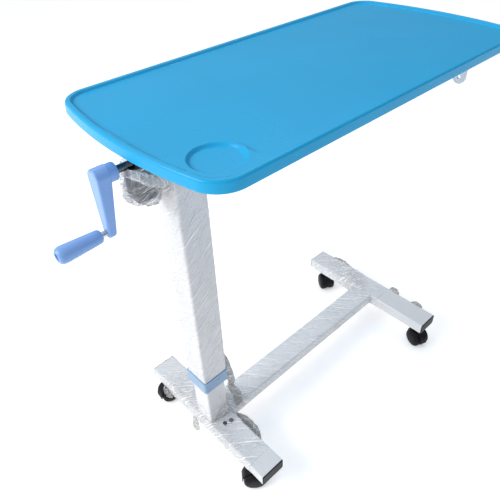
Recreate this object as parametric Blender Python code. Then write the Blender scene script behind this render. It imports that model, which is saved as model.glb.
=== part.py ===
"""An overbed table: a moulded tray on a crank-raised square column, over an H base with four casters.

Metres, +Z up. While it is built, X runs along the tray from the column end, Y runs across it and Z is zero
on the floor under the tray's middle. The last step moves everything so that the origin is the bottom centre
of the bounding box.
"""

import math

import bmesh
import bpy
from mathutils import Matrix, Vector

RUNNING_GAP = 0.0003
CUT_PAST = 0.010
ARC_STEPS = 24

# Tray
TRAY_LENGTH = 0.82
TRAY_WIDTH = 0.40
TRAY_TOP = 0.830
TRAY_SKIRT = 0.018
TRAY_END_BULGE = 0.025
TRAY_CORNER_RADIUS = 0.050
TRAY_END_STEPS = 14
TRAY_CORNER_STEPS = 8
TRAY_WELL_DEPTH = 0.005
TRAY_FLOOR_THICKNESS = 0.0045
TRAY_WALL = 0.004
# Each pair is how far in from the outer edge the tray's section is, and how far below the top.
TRAY_RIM_SECTION = (
    (0.0, TRAY_SKIRT),
    (0.0018, 0.0040),
    (0.0030, 0.0014),
    (0.0054, 0.0),
    (0.0105, 0.0),
    (0.0130, 0.0014),
    (0.0150, TRAY_WELL_DEPTH),
)

# Raised corner and its cup recess
CUP_CENTRE = Vector((-0.340, -0.140))
CUP_RADIUS = 0.040
CUP_FLOOR_RADIUS = 0.035
PLATEAU_RADIUS = 0.044
PLATEAU_SIDE_FILLET = 0.030
PLATEAU_SIDE_Y = -0.189
PLATEAU_LINE_Y = -0.090
PLATEAU_LINE_END_X = -0.388
PLATEAU_END_FILLET = 0.010
PLATEAU_SLOPE = 0.003
PLATEAU_BELOW_TOP = 0.0002
PLATEAU_EDGE_INSET = 0.008
PLATEAU_SLOPE_FOOT = 0.0049
PLATEAU_ROOT = 0.0065

# Frame under the tray
FRAME_TOP = TRAY_TOP - TRAY_WELL_DEPTH - TRAY_FLOOR_THICKNESS - RUNNING_GAP
FRAME_HEIGHT = 0.020
FRAME_WALL = 0.002
FRAME_CORNER = 0.002
FRAME_INNER_CORNER = 0.001
CROSS_TUBE_WIDTH = 0.030
CROSS_TUBE_HALF_LENGTH = 0.160
NEAR_CROSS_X = -0.345
FAR_CROSS_X = 0.232
RAIL_Y = 0.060
PLUG_DEPTH = 0.012
PLUG_FLANGE = 0.003
EAR_THICKNESS = 0.004
EAR_RADIUS = 0.0125
EAR_Y = 0.167
EAR_CENTRE_Z = 0.7815
EAR_HOLE_RADIUS = 0.0035
EAR_REACH = 0.028
EAR_ROOT_HEIGHT = 0.014
EAR_SHOULDER = 0.006
EAR_BELOW_FRAME_TOP = 0.003
HEAD_PLATE_THICKNESS = 0.004
HEAD_PLATE_LOW_X = -0.389
HEAD_PLATE_HIGH_X = -0.250
HEAD_PLATE_HALF_WIDTH = 0.080
HEAD_PLATE_TONGUE_HALF_WIDTH = 0.024
HEAD_PLATE_WIDE_FROM_X = -0.362
HEAD_PLATE_WINDOW_RADIUS = 0.020

# Column
COLUMN_X = -0.310
OUTER_WIDTH = 0.060
INNER_WIDTH = 0.050
COLUMN_WALL = 0.002
COLUMN_CORNER = 0.004
COLUMN_INNER_CORNER = 0.002
SLEEVE_CORNER = 0.0018
OUTER_BOTTOM = 0.2523
HEAD_PLATE_BOTTOM = FRAME_TOP - FRAME_HEIGHT - RUNNING_GAP - HEAD_PLATE_THICKNESS
OUTER_TOP = HEAD_PLATE_BOTTOM - RUNNING_GAP
INNER_TOP = 0.620
COLLAR_BOTTOM = 0.220
COLLAR_WIDTH = 0.0640
COLLAR_CORNER = 0.005
COLLAR_SLEEVE_LENGTH = 0.035
COLLAR_SCREW_X = -0.3072
COLLAR_SCREW_Z = 0.238
COLLAR_SCREW_RADIUS = 0.0015
COLLAR_SCREW_HEAD_RADIUS = 0.0030
COLLAR_SCREW_HEAD = 0.0016
COLLAR_SCREW_LENGTH = 0.0040

# Lift drive
SHAFT_Z = 0.785
SHAFT_RADIUS = 0.006
SHAFT_END_RADIUS = 0.004
SHAFT_OUTER_X = -0.440
SHAFT_SHOULDER_X = -0.3365
SHAFT_INNER_X = -0.3185
MITER_OUTER = 0.015
MITER_INNER = 0.0085
MITER_HUB_RADIUS = 0.0090
MITER_HUB_LENGTH = 0.010
MITER_BACK = 0.002
SCREW_RADIUS = 0.007
SCREW_JOURNAL_RADIUS = 0.005
SCREW_BOTTOM = 0.300
SCREW_SHOULDER_Z = 0.7478
SCREW_SHOULDER_THICKNESS = 0.004
SCREW_SHOULDER_RADIUS = 0.011
SCREW_TOP = 0.7755
BEARING_PLATE_Z = 0.735
BEARING_PLATE_THICKNESS = 0.006
THRUST_THICKNESS = 0.006
THRUST_RADIUS = 0.013
NUT_DEPTH = 0.028
NUT_FLANGE = 0.004
BLOCK_LOW_X = -0.394
BLOCK_STEP_X = -0.3835
BLOCK_HIGH_X = -0.362
BLOCK_HALF_WIDTH = 0.017
BLOCK_BOTTOM = 0.725
BLOCK_STEP_Z = 0.7785
BLOCK_EDGE = 0.003
BUSH_FLANGE_RADIUS = 0.010
BUSH_FLANGE = 0.003
BUSH_RADIUS = 0.0077
BUSH_HOLE_RADIUS = 0.0080
BUSH_SLEEVE = 0.0025

# Crank
CRANK_OUTER_X = -0.448
CRANK_HUB_THICKNESS = 0.0245
CRANK_END_THICKNESS = 0.0120
CRANK_HUB_RADIUS = 0.0145
CRANK_END_RADIUS = 0.0095
CRANK_THROW = 0.090
CRANK_BOSS_RADIUS = 0.0136
CRANK_BOSS_X = -0.4125
CRANK_EDGE = 0.0025
CRANK_BOSS_OVERLAP = 0.008
CRANK_BOSS_EDGE = 0.0015
CRANK_PIN_DEPTH = 0.009
GRIP_INNER_X = -0.4570
GRIP_LENGTH = 0.070
GRIP_INNER_RADIUS = 0.0110
GRIP_OUTER_RADIUS = 0.0137
GRIP_EDGE = 0.0030
GRIP_PIN_RADIUS = 0.003
GRIP_PIN_COLLAR_RADIUS = 0.0048
GRIP_PIN_HEAD_RADIUS = 0.0055
GRIP_PIN_HEAD = 0.003
GRIP_COUNTERBORE_RADIUS = 0.0066
GRIP_COUNTERBORE_DEPTH = 0.006

# Base
FOOT_WIDTH = 0.060
FOOT_HEIGHT = 0.030
FOOT_BOTTOM = 0.065
FOOT_TOP = FOOT_BOTTOM + FOOT_HEIGHT
FOOT_HALF_LENGTH = 0.200
FOOT_WALL = 0.002
FOOT_CORNER = 0.003
FOOT_INNER_CORNER = 0.001
NEAR_FOOT_X = COLUMN_X
FAR_FOOT_X = 0.290
CAP_THICKNESS = 0.002
CAP_PLUG_DEPTH = 0.018
CAP_EDGE = 0.0008
BASE_BOLTS = ((-0.313, -0.047), (-0.298, -0.051))
BASE_BOLT_RADIUS = 0.0048
BASE_BOLT_HEAD = 0.004
BASE_BOLT_SHANK = 0.0025
BASE_BOLT_LENGTH = 0.008

# Casters
CASTER_Y = 0.165
WHEEL_RADIUS = 0.025
WHEEL_INNER = 0.0042
WHEEL_OUTER = 0.0228
TRAIL = 0.018
AXLE_RADIUS = 0.003
AXLE_HALF_LENGTH = 0.0190
HOOD_INNER_RADIUS = 0.0262
HOOD_OUTER_RADIUS = 0.0288
HOOD_HALF_WIDTH = 0.0110
HOOD_START = -8.0
HOOD_END = 172.0
WEB_HALF_THICKNESS = 0.0035
WEB_RADIUS = 0.0275
WEB_END = 190.0
WEB_CHIN_RADIUS = 0.008
WEB_CHIN = (230.0, 310.0)
BOSS_RADIUS = 0.0090
BOSS_BOTTOM = 0.0494
BOSS_TOP = 0.0596
STEM_DISC_RADIUS = 0.0140
STEM_DISC_TOP = FOOT_BOTTOM - RUNNING_GAP
STEM_PIN_RADIUS = 0.0050
STEM_PIN_BOTTOM = 0.0512
STEM_TOP = 0.0780
STEM_HOLE_RADIUS = STEM_PIN_RADIUS + RUNNING_GAP
# Each caster: its name, the foot it is under, which side it is on and the way its axle points, in degrees.
CASTERS = (
    ("near_left", NEAR_FOOT_X, CASTER_Y, 85.0),
    ("near_right", NEAR_FOOT_X, -CASTER_Y, 52.0),
    ("far_left", FAR_FOOT_X, CASTER_Y, 148.0),
    ("far_right", FAR_FOOT_X, -CASTER_Y, 160.0),
)

COLOURS = {
    "tray_blue": ((0.05, 0.42, 0.72), 0.0, 0.35),
    "white_paint": ((0.82, 0.84, 0.85), 0.0, 0.30),
    "grey_casting": ((0.09, 0.09, 0.10), 0.3, 0.50),
    "bright_steel": ((0.55, 0.56, 0.58), 1.0, 0.30),
    "crank_blue": ((0.28, 0.42, 0.82), 0.0, 0.35),
    "collar_blue": ((0.40, 0.63, 0.88), 0.0, 0.40),
    "black_plastic": ((0.02, 0.02, 0.022), 0.0, 0.45),
    "wheel_rubber": ((0.025, 0.025, 0.027), 0.0, 0.60),
    "grey_plastic": ((0.45, 0.45, 0.44), 0.0, 0.50),
    "bronze_bush": ((0.62, 0.45, 0.22), 0.9, 0.40),
}


def clear_scene():
    for item in list(bpy.data.objects):
        bpy.data.objects.remove(item, do_unlink=True)


def material(name):
    found = bpy.data.materials.get(name)
    if found:
        return found
    colour, metallic, roughness = COLOURS[name]
    made = bpy.data.materials.new(name)
    made.use_nodes = True
    shader = made.node_tree.nodes["Principled BSDF"]
    shader.inputs["Base Color"].default_value = (*colour, 1.0)
    shader.inputs["Metallic"].default_value = metallic
    shader.inputs["Roughness"].default_value = roughness
    return made


# Outlines, as lists of points in a plane


def arc(centre, radius, start, end, steps):
    """Points on an arc, both ends included, with the angles in degrees."""
    angles = [math.radians(start + (end - start) * i / steps) for i in range(steps + 1)]
    return [(centre[0] + radius * math.cos(a), centre[1] + radius * math.sin(a)) for a in angles]


def circle(radius, steps=ARC_STEPS):
    return arc((0.0, 0.0), radius, 0.0, 360.0, steps)[:-1]


def rectangle(width, height, corner=0.0, steps=3):
    """A rectangle about its middle, with rounded corners when a radius is given."""
    across, up = width / 2 - corner, height / 2 - corner
    corners = ((across, up, 0.0), (-across, up, 90.0), (-across, -up, 180.0), (across, -up, 270.0))
    if not corner:
        return [(x, y) for x, y, _ in corners]
    points = []
    for x, y, start in corners:
        points += arc((x, y), corner, start, start + 90.0, steps)
    return points


def tray_outline(inset):
    """The tray's outline, drawn in by a distance: bowed ends, straight sides and round corners."""
    half_width = TRAY_WIDTH / 2
    end_radius = (half_width**2 + TRAY_END_BULGE**2) / (2 * TRAY_END_BULGE)
    end_x = TRAY_LENGTH / 2 - end_radius
    corner_y = half_width - TRAY_CORNER_RADIUS
    reach = end_radius - TRAY_CORNER_RADIUS
    corner_x = end_x + math.sqrt(reach**2 - corner_y**2)
    turn = math.degrees(math.asin(corner_y / reach))
    corner_radius = TRAY_CORNER_RADIUS - inset
    end = arc((end_x, 0.0), end_radius - inset, -turn, turn, TRAY_END_STEPS)
    upper = arc((corner_x, corner_y), corner_radius, turn, 90.0, TRAY_CORNER_STEPS)[1:]
    right = [(x, -y) for x, y in reversed(upper)] + end + upper
    return right + [(-x, -y) for x, y in right]


def plateau_outline(spread):
    """The raised corner's outline; spread moves its free edge out, towards the well."""
    radius = PLATEAU_RADIUS + spread
    fillet = PLATEAU_SIDE_FILLET - spread
    fillet_y = PLATEAU_SIDE_Y + PLATEAU_SIDE_FILLET
    drop = fillet_y - CUP_CENTRE.y
    run = math.sqrt((PLATEAU_RADIUS + PLATEAU_SIDE_FILLET) ** 2 - drop**2)
    fillet_x = CUP_CENTRE.x + run
    meet = math.degrees(math.atan2(drop, run))
    side = arc((fillet_x, fillet_y), fillet, 270.0, 180.0 + meet, 8)
    round_cup = arc(CUP_CENTRE, radius, meet, 92.0, 12)[1:]
    end_y = PLATEAU_LINE_Y + PLATEAU_END_FILLET
    end = arc((PLATEAU_LINE_END_X, end_y), PLATEAU_END_FILLET - spread, 270.0, 180.0, 4)
    beyond_x = CUP_CENTRE.x + PLATEAU_RADIUS
    rim = [(x, y) for x, y in tray_outline(PLATEAU_EDGE_INSET) if x < beyond_x and y < end_y]
    return side + round_cup + end + rim


# Solids, each one closed body


def turned_to(axis, point, along):
    """The position of a point of an outline, drawn square to an axis, this far along that axis."""
    u, v = point
    return {"x": Vector((along, u, v)), "y": Vector((u, along, v)), "z": Vector((u, v, along))}[axis]


def loops_along(axis, sections, centre=(0.0, 0.0, 0.0)):
    """Loops of points from (outline, distance along the axis) pairs."""
    return [[turned_to(axis, p, along) + Vector(centre) for p in outline] for outline, along in sections]


def loft(name, slot, loops, ring=False):
    """A body through loops with equal counts. A ring joins its last loop to its first; otherwise ends close."""
    mesh = bpy.data.meshes.new(name)
    shape = bmesh.new()
    rows = [[shape.verts.new(point) for point in loop] for loop in loops]
    pairs = list(zip(rows, rows[1:]))
    if ring:
        pairs.append((rows[-1], rows[0]))
    else:
        shape.faces.new(rows[0])
        shape.faces.new(rows[-1])
    for low, high in pairs:
        for i in range(len(low)):
            j = (i + 1) % len(low)
            shape.faces.new((low[i], low[j], high[j], high[i]))
    bmesh.ops.recalc_face_normals(shape, faces=shape.faces)
    shape.to_mesh(mesh)
    shape.free()
    mesh.materials.append(material(slot))
    made = bpy.data.objects.new(name, mesh)
    bpy.context.scene.collection.objects.link(made)
    return made


def bar(name, slot, axis, outline, low, high, centre=(0.0, 0.0, 0.0)):
    return loft(name, slot, loops_along(axis, ((outline, low), (outline, high)), centre))


def tube(name, slot, axis, outer, inner, low, high, centre=(0.0, 0.0, 0.0)):
    sections = ((outer, low), (outer, high), (inner, high), (inner, low))
    return loft(name, slot, loops_along(axis, sections, centre), ring=True)


def turned(name, slot, axis, profile, centre=(0.0, 0.0, 0.0), steps=ARC_STEPS, ring=False):
    """A turned body from (distance along the axis, radius) pairs."""
    sections = [(circle(radius, steps), along) for along, radius in profile]
    return loft(name, slot, loops_along(axis, sections, centre), ring)


def bushing(name, slot, axis, profile, bore, centre=(0.0, 0.0, 0.0), steps=ARC_STEPS):
    """A turned body with a plain bore through it."""
    hole = [(profile[-1][0], bore), (profile[0][0], bore)]
    return turned(name, slot, axis, list(profile) + hole, centre, steps, ring=True)


def settle(body):
    """Makes a body's modifiers part of its mesh."""
    graph = bpy.context.evaluated_depsgraph_get()
    mesh = bpy.data.meshes.new_from_object(body.evaluated_get(graph))
    body.modifiers.clear()
    body.data = mesh


def combine(body, tools, operation):
    """Cuts or joins other bodies with this one, and removes them."""
    for tool in tools:
        change = body.modifiers.new(operation.lower(), "BOOLEAN")
        change.operation = operation
        change.solver = "EXACT"
        change.object = tool
    settle(body)
    for tool in tools:
        bpy.data.objects.remove(tool, do_unlink=True)
    return body


def cut(body, *tools):
    return combine(body, tools, "DIFFERENCE")


def join(body, *tools):
    return combine(body, tools, "UNION")


def soften(body, width, segments=2):
    """Rounds a body's sharp edges."""
    change = body.modifiers.new("bevel", "BEVEL")
    change.width = width
    change.segments = segments
    change.limit_method = "ANGLE"
    change.angle_limit = math.radians(40.0)
    settle(body)
    return body


# Tray and the frame under it


def make_tray():
    skirt = TRAY_TOP - TRAY_SKIRT
    underside = FRAME_TOP + RUNNING_GAP
    levels = [(TRAY_WALL + 0.001, underside), (TRAY_WALL, skirt)]
    levels += [(inset, TRAY_TOP - below) for inset, below in TRAY_RIM_SECTION]
    tray = loft("table_top", "tray_blue", loops_along("z", [(tray_outline(i), z) for i, z in levels]))
    top = TRAY_TOP - PLATEAU_BELOW_TOP
    sections = (
        (plateau_outline(PLATEAU_SLOPE), TRAY_TOP - PLATEAU_ROOT),
        (plateau_outline(PLATEAU_SLOPE), TRAY_TOP - PLATEAU_SLOPE_FOOT),
        (plateau_outline(0.0), top),
    )
    plateau = loft("plateau", "tray_blue", loops_along("z", sections))
    join(tray, plateau)
    cup = (
        (TRAY_TOP - TRAY_WELL_DEPTH, CUP_FLOOR_RADIUS),
        (TRAY_TOP - 0.0012, CUP_RADIUS - 0.0020),
        (TRAY_TOP + 0.0010, CUP_RADIUS + 0.0015),
    )
    cut(tray, turned("cup_cutter", "tray_blue", "z", cup, (*CUP_CENTRE, 0.0), steps=40))


def make_frame():
    middle = FRAME_TOP - FRAME_HEIGHT / 2
    outer = rectangle(CROSS_TUBE_WIDTH, FRAME_HEIGHT, FRAME_CORNER, 2)
    wall = 2 * FRAME_WALL
    inner = rectangle(CROSS_TUBE_WIDTH - wall, FRAME_HEIGHT - wall, FRAME_INNER_CORNER, 2)
    half = CROSS_TUBE_HALF_LENGTH
    for name, x in (("near_cross_tube", NEAR_CROSS_X), ("far_cross_tube", FAR_CROSS_X)):
        tube(name, "white_paint", "y", outer, inner, -half, half, (x, 0.0, middle))
        make_plugs(name.replace("_tube", ""), x, middle)
    low = NEAR_CROSS_X + CROSS_TUBE_WIDTH / 2 + RUNNING_GAP
    high = FAR_CROSS_X - CROSS_TUBE_WIDTH / 2 - RUNNING_GAP
    for side, y in (("left", RAIL_Y), ("right", -RAIL_Y)):
        tube(f"rail_{side}", "white_paint", "x", outer, inner, low, high, (0.0, y, middle))


def make_plugs(name, x, middle):
    """The plastic plugs in a cross tube's two ends."""
    gap = 2 * (FRAME_WALL + RUNNING_GAP)
    flange = rectangle(CROSS_TUBE_WIDTH, FRAME_HEIGHT, FRAME_CORNER, 2)
    plug = rectangle(CROSS_TUBE_WIDTH - gap, FRAME_HEIGHT - gap, FRAME_INNER_CORNER, 2)
    end = CROSS_TUBE_HALF_LENGTH + RUNNING_GAP
    for side, way in (("left", 1.0), ("right", -1.0)):
        sections = (
            (plug, way * (end - PLUG_DEPTH)),
            (plug, way * end),
            (flange, way * end),
            (flange, way * (end + PLUG_FLANGE)),
        )
        loft(f"{name}_plug_{side}", "grey_plastic", loops_along("y", sections, (x, 0.0, middle)))


def make_ears():
    """Round-ended plates on the far cross tube's near face, each with a hole."""
    high = FAR_CROSS_X - CROSS_TUBE_WIDTH / 2 - RUNNING_GAP
    top = FRAME_TOP - EAR_BELOW_FRAME_TOP - EAR_CENTRE_Z
    root = (
        (EAR_RADIUS, top),
        (-EAR_REACH, top),
        (-EAR_REACH, top - EAR_ROOT_HEIGHT),
        (-EAR_RADIUS, EAR_SHOULDER),
    )
    outline = arc((0.0, 0.0), EAR_RADIUS, 180.0, 360.0, 14) + list(root)
    for side, way in (("left", 1.0), ("right", -1.0)):
        centre = (0.0, way * EAR_Y, EAR_CENTRE_Z)
        sided = [(way * y, z) for y, z in outline]
        ear = bar(f"frame_ear_{side}", "white_paint", "x", sided, high - EAR_THICKNESS, high, centre)
        hole = circle(EAR_HOLE_RADIUS, 16)
        cut(ear, bar("hole", "white_paint", "x", hole, high - CUT_PAST, high + CUT_PAST, centre))


def make_head_plate():
    """The plate that the column's top is welded to, with a tongue that carries the bearing block."""
    tongue, wide = HEAD_PLATE_TONGUE_HALF_WIDTH, HEAD_PLATE_HALF_WIDTH
    low, step, high = HEAD_PLATE_LOW_X, HEAD_PLATE_WIDE_FROM_X, HEAD_PLATE_HIGH_X
    outline = (
        (low, -tongue),
        (step, -tongue),
        (step, -wide),
        (high, -wide),
        (high, wide),
        (step, wide),
        (step, tongue),
        (low, tongue),
    )
    bottom = HEAD_PLATE_BOTTOM
    plate = bar("head_plate", "white_paint", "z", outline, bottom, bottom + HEAD_PLATE_THICKNESS)
    window = circle(HEAD_PLATE_WINDOW_RADIUS)
    centre = (COLUMN_X, 0.0, 0.0)
    cut(plate, bar("window", "white_paint", "z", window, bottom - CUT_PAST, bottom + CUT_PAST, centre))


# Column


def square(width, corner=COLUMN_CORNER):
    return rectangle(width, width, corner)


def make_column():
    centre = (COLUMN_X, 0.0, 0.0)
    wide, narrow = OUTER_WIDTH, INNER_WIDTH
    bore, inner_bore = wide - 2 * COLUMN_WALL, narrow - 2 * COLUMN_WALL
    inside = square(bore, COLUMN_INNER_CORNER)
    outer = tube("outer_column", "white_paint", "z", square(wide), inside, OUTER_BOTTOM, OUTER_TOP, centre)
    wall_x = COLUMN_X - wide / 2
    hole = circle(BUSH_HOLE_RADIUS)
    axis = (0.0, 0.0, SHAFT_Z)
    cut(outer, bar("hole", "white_paint", "x", hole, wall_x - CUT_PAST, wall_x + CUT_PAST, axis))
    foot = FOOT_TOP + RUNNING_GAP
    inside = square(inner_bore, COLUMN_INNER_CORNER)
    tube("inner_column", "white_paint", "z", square(narrow), inside, foot, INNER_TOP, centre)
    make_collar(bore)
    make_nut(inner_bore)


def make_collar(outer_bore):
    """The plastic collar under the outer column, whose sleeve guides the inner column."""
    flange = square(COLLAR_WIDTH, COLLAR_CORNER)
    sleeve = square(outer_bore - 2 * RUNNING_GAP, SLEEVE_CORNER)
    bore = square(INNER_WIDTH + 2 * RUNNING_GAP, COLUMN_CORNER)
    flange_top = OUTER_BOTTOM - RUNNING_GAP
    top = flange_top + COLLAR_SLEEVE_LENGTH
    sections = (
        (flange, COLLAR_BOTTOM),
        (flange, flange_top),
        (sleeve, flange_top),
        (sleeve, top),
        (bore, top),
        (bore, COLLAR_BOTTOM),
    )
    loops = loops_along("z", sections, (COLUMN_X, 0.0, 0.0))
    collar = loft("column_collar", "collar_blue", loops, ring=True)
    face = -COLLAR_WIDTH / 2
    centre = (COLLAR_SCREW_X, 0.0, COLLAR_SCREW_Z)
    hole = circle(COLLAR_SCREW_RADIUS + RUNNING_GAP, 16)
    end = face + COLLAR_SCREW_LENGTH
    cut(collar, bar("hole", "collar_blue", "y", hole, face - CUT_PAST, end + RUNNING_GAP, centre))
    seat = face - RUNNING_GAP
    profile = (
        (seat - COLLAR_SCREW_HEAD, 0.45 * COLLAR_SCREW_HEAD_RADIUS),
        (seat - 0.75 * COLLAR_SCREW_HEAD, 0.8 * COLLAR_SCREW_HEAD_RADIUS),
        (seat, COLLAR_SCREW_HEAD_RADIUS),
        (seat, COLLAR_SCREW_RADIUS),
        (end, COLLAR_SCREW_RADIUS),
    )
    turned("collar_screw", "bright_steel", "y", profile, centre, steps=16)


def make_nut(bore):
    """The nut in the top of the inner column, which the lead screw turns in."""
    plug = square(bore - 2 * RUNNING_GAP, SLEEVE_CORNER)
    flange = square(INNER_WIDTH, SLEEVE_CORNER)
    seat = INNER_TOP + RUNNING_GAP
    sections = ((plug, seat - NUT_DEPTH), (plug, seat), (flange, seat), (flange, seat + NUT_FLANGE))
    nut = loft("lift_nut", "bronze_bush", loops_along("z", sections, (COLUMN_X, 0.0, 0.0)))
    hole = circle(SCREW_RADIUS + RUNNING_GAP)
    low, high = seat - NUT_DEPTH - CUT_PAST, seat + NUT_FLANGE + CUT_PAST
    cut(nut, bar("hole", "bronze_bush", "z", hole, low, high, (COLUMN_X, 0.0, 0.0)))


# Lift drive


def make_screw():
    """The lead screw, drawn as a plain rod, with the plate and bearing that carry it."""
    centre = (COLUMN_X, 0.0, 0.0)
    shoulder = SCREW_SHOULDER_Z
    above = shoulder + SCREW_SHOULDER_THICKNESS
    profile = (
        (SCREW_BOTTOM, SCREW_RADIUS - 0.001),
        (SCREW_BOTTOM + 0.001, SCREW_RADIUS),
        (shoulder, SCREW_RADIUS),
        (shoulder, SCREW_SHOULDER_RADIUS),
        (above, SCREW_SHOULDER_RADIUS),
        (above, SCREW_JOURNAL_RADIUS),
        (SCREW_TOP, SCREW_JOURNAL_RADIUS),
    )
    turned("lead_screw", "bright_steel", "z", profile, centre)
    bore = OUTER_WIDTH - 2 * COLUMN_WALL - 2 * RUNNING_GAP
    top = BEARING_PLATE_Z + BEARING_PLATE_THICKNESS
    outline = square(bore, SLEEVE_CORNER)
    plate = bar("screw_bearing_plate", "grey_casting", "z", outline, BEARING_PLATE_Z, top, centre)
    hole = circle(SCREW_RADIUS + RUNNING_GAP)
    cut(plate, bar("hole", "grey_casting", "z", hole, BEARING_PLATE_Z - CUT_PAST, top + CUT_PAST, centre))
    low = top + RUNNING_GAP
    rim = ((low, THRUST_RADIUS), (low + THRUST_THICKNESS, THRUST_RADIUS))
    bushing("thrust_bearing", "bright_steel", "z", rim, SCREW_RADIUS + RUNNING_GAP, centre)


def make_miter_gears():
    """The two bevel gears, drawn as plain blanks about the point where their axes cross."""
    outer, inner = MITER_OUTER, MITER_INNER
    profile = (
        (-outer - MITER_HUB_LENGTH, MITER_HUB_RADIUS),
        (-outer - MITER_BACK, MITER_HUB_RADIUS),
        (-outer - MITER_BACK, outer - MITER_BACK),
        (-outer, outer - RUNNING_GAP),
        (-inner, inner - RUNNING_GAP),
    )
    centre = (COLUMN_X, 0.0, SHAFT_Z)
    bushing("bevel_pinion", "bright_steel", "x", profile, SHAFT_END_RADIUS + RUNNING_GAP, centre)
    bushing("bevel_gear", "bright_steel", "z", profile, SCREW_JOURNAL_RADIUS + RUNNING_GAP, centre)


def make_shaft():
    centre = (0.0, 0.0, SHAFT_Z)
    profile = (
        (SHAFT_OUTER_X, SHAFT_RADIUS),
        (SHAFT_SHOULDER_X, SHAFT_RADIUS),
        (SHAFT_SHOULDER_X, SHAFT_END_RADIUS),
        (SHAFT_INNER_X, SHAFT_END_RADIUS),
    )
    turned("crank_shaft", "bright_steel", "x", profile, centre)
    wall = COLUMN_X - OUTER_WIDTH / 2 - RUNNING_GAP
    bush = (
        (wall - BUSH_FLANGE, BUSH_FLANGE_RADIUS),
        (wall, BUSH_FLANGE_RADIUS),
        (wall, BUSH_RADIUS),
        (wall + BUSH_SLEEVE, BUSH_RADIUS),
    )
    bushing("shaft_bush", "grey_plastic", "x", bush, SHAFT_RADIUS + RUNNING_GAP, centre)


def make_bearing_block():
    """The casting that hangs from the head plate and carries the shaft, stepped back above its lower half."""
    top = HEAD_PLATE_BOTTOM - RUNNING_GAP
    outline = (
        (BLOCK_LOW_X, BLOCK_BOTTOM),
        (BLOCK_HIGH_X, BLOCK_BOTTOM),
        (BLOCK_HIGH_X, top),
        (BLOCK_STEP_X, top),
        (BLOCK_STEP_X, BLOCK_STEP_Z),
        (BLOCK_LOW_X, BLOCK_STEP_Z),
    )
    block = bar("shaft_bearing_block", "grey_casting", "y", outline, -BLOCK_HALF_WIDTH, BLOCK_HALF_WIDTH)
    soften(block, BLOCK_EDGE)
    hole = circle(SHAFT_RADIUS + RUNNING_GAP)
    low, high = BLOCK_LOW_X - CUT_PAST, BLOCK_HIGH_X + CUT_PAST
    cut(block, bar("hole", "grey_casting", "x", hole, low, high, (0.0, 0.0, SHAFT_Z)))


# Crank


def crank_outline():
    """The arm seen along its shaft: two round ends and the straight sides that touch both."""
    lean = math.degrees(math.asin((CRANK_HUB_RADIUS - CRANK_END_RADIUS) / CRANK_THROW))
    hub = arc((0.0, 0.0), CRANK_HUB_RADIUS, -lean, 180.0 + lean, 18)
    end = arc((0.0, -CRANK_THROW), CRANK_END_RADIUS, 180.0 + lean, 360.0 - lean, 12)
    return hub + end


def make_crank():
    """The arm: a flat outer face and an inner face that leans out towards the grip."""
    outline = crank_outline()
    top, bottom = CRANK_HUB_RADIUS, -CRANK_THROW - CRANK_END_RADIUS
    lean = (CRANK_HUB_THICKNESS - CRANK_END_THICKNESS) / (top - bottom)
    centre = Vector((CRANK_OUTER_X, 0.0, SHAFT_Z))
    outer = [centre + Vector((0.0, y, z)) for y, z in outline]
    inner = [centre + Vector((CRANK_END_THICKNESS + lean * (z - bottom), y, z)) for y, z in outline]
    arm = loft("crank_arm", "crank_blue", (outer, inner))
    soften(arm, CRANK_EDGE)
    boss_start = CRANK_OUTER_X + CRANK_HUB_THICKNESS - CRANK_BOSS_OVERLAP
    boss_profile = (
        (boss_start, CRANK_BOSS_RADIUS),
        (CRANK_BOSS_X - CRANK_BOSS_EDGE, CRANK_BOSS_RADIUS),
        (CRANK_BOSS_X, CRANK_BOSS_RADIUS - CRANK_BOSS_EDGE),
    )
    axis = (0.0, 0.0, SHAFT_Z)
    join(arm, turned("boss", "crank_blue", "x", boss_profile, axis))
    bore = circle(SHAFT_RADIUS + RUNNING_GAP)
    pin = circle(GRIP_PIN_RADIUS + RUNNING_GAP, 20)
    pin_axis = (0.0, 0.0, SHAFT_Z - CRANK_THROW)
    pin_low, pin_high = CRANK_OUTER_X - CUT_PAST, CRANK_OUTER_X + CRANK_PIN_DEPTH
    cut(
        arm,
        bar("bore", "crank_blue", "x", bore, SHAFT_OUTER_X - RUNNING_GAP, CRANK_BOSS_X + CUT_PAST, axis),
        bar("pin_hole", "crank_blue", "x", pin, pin_low, pin_high, pin_axis),
    )


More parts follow.
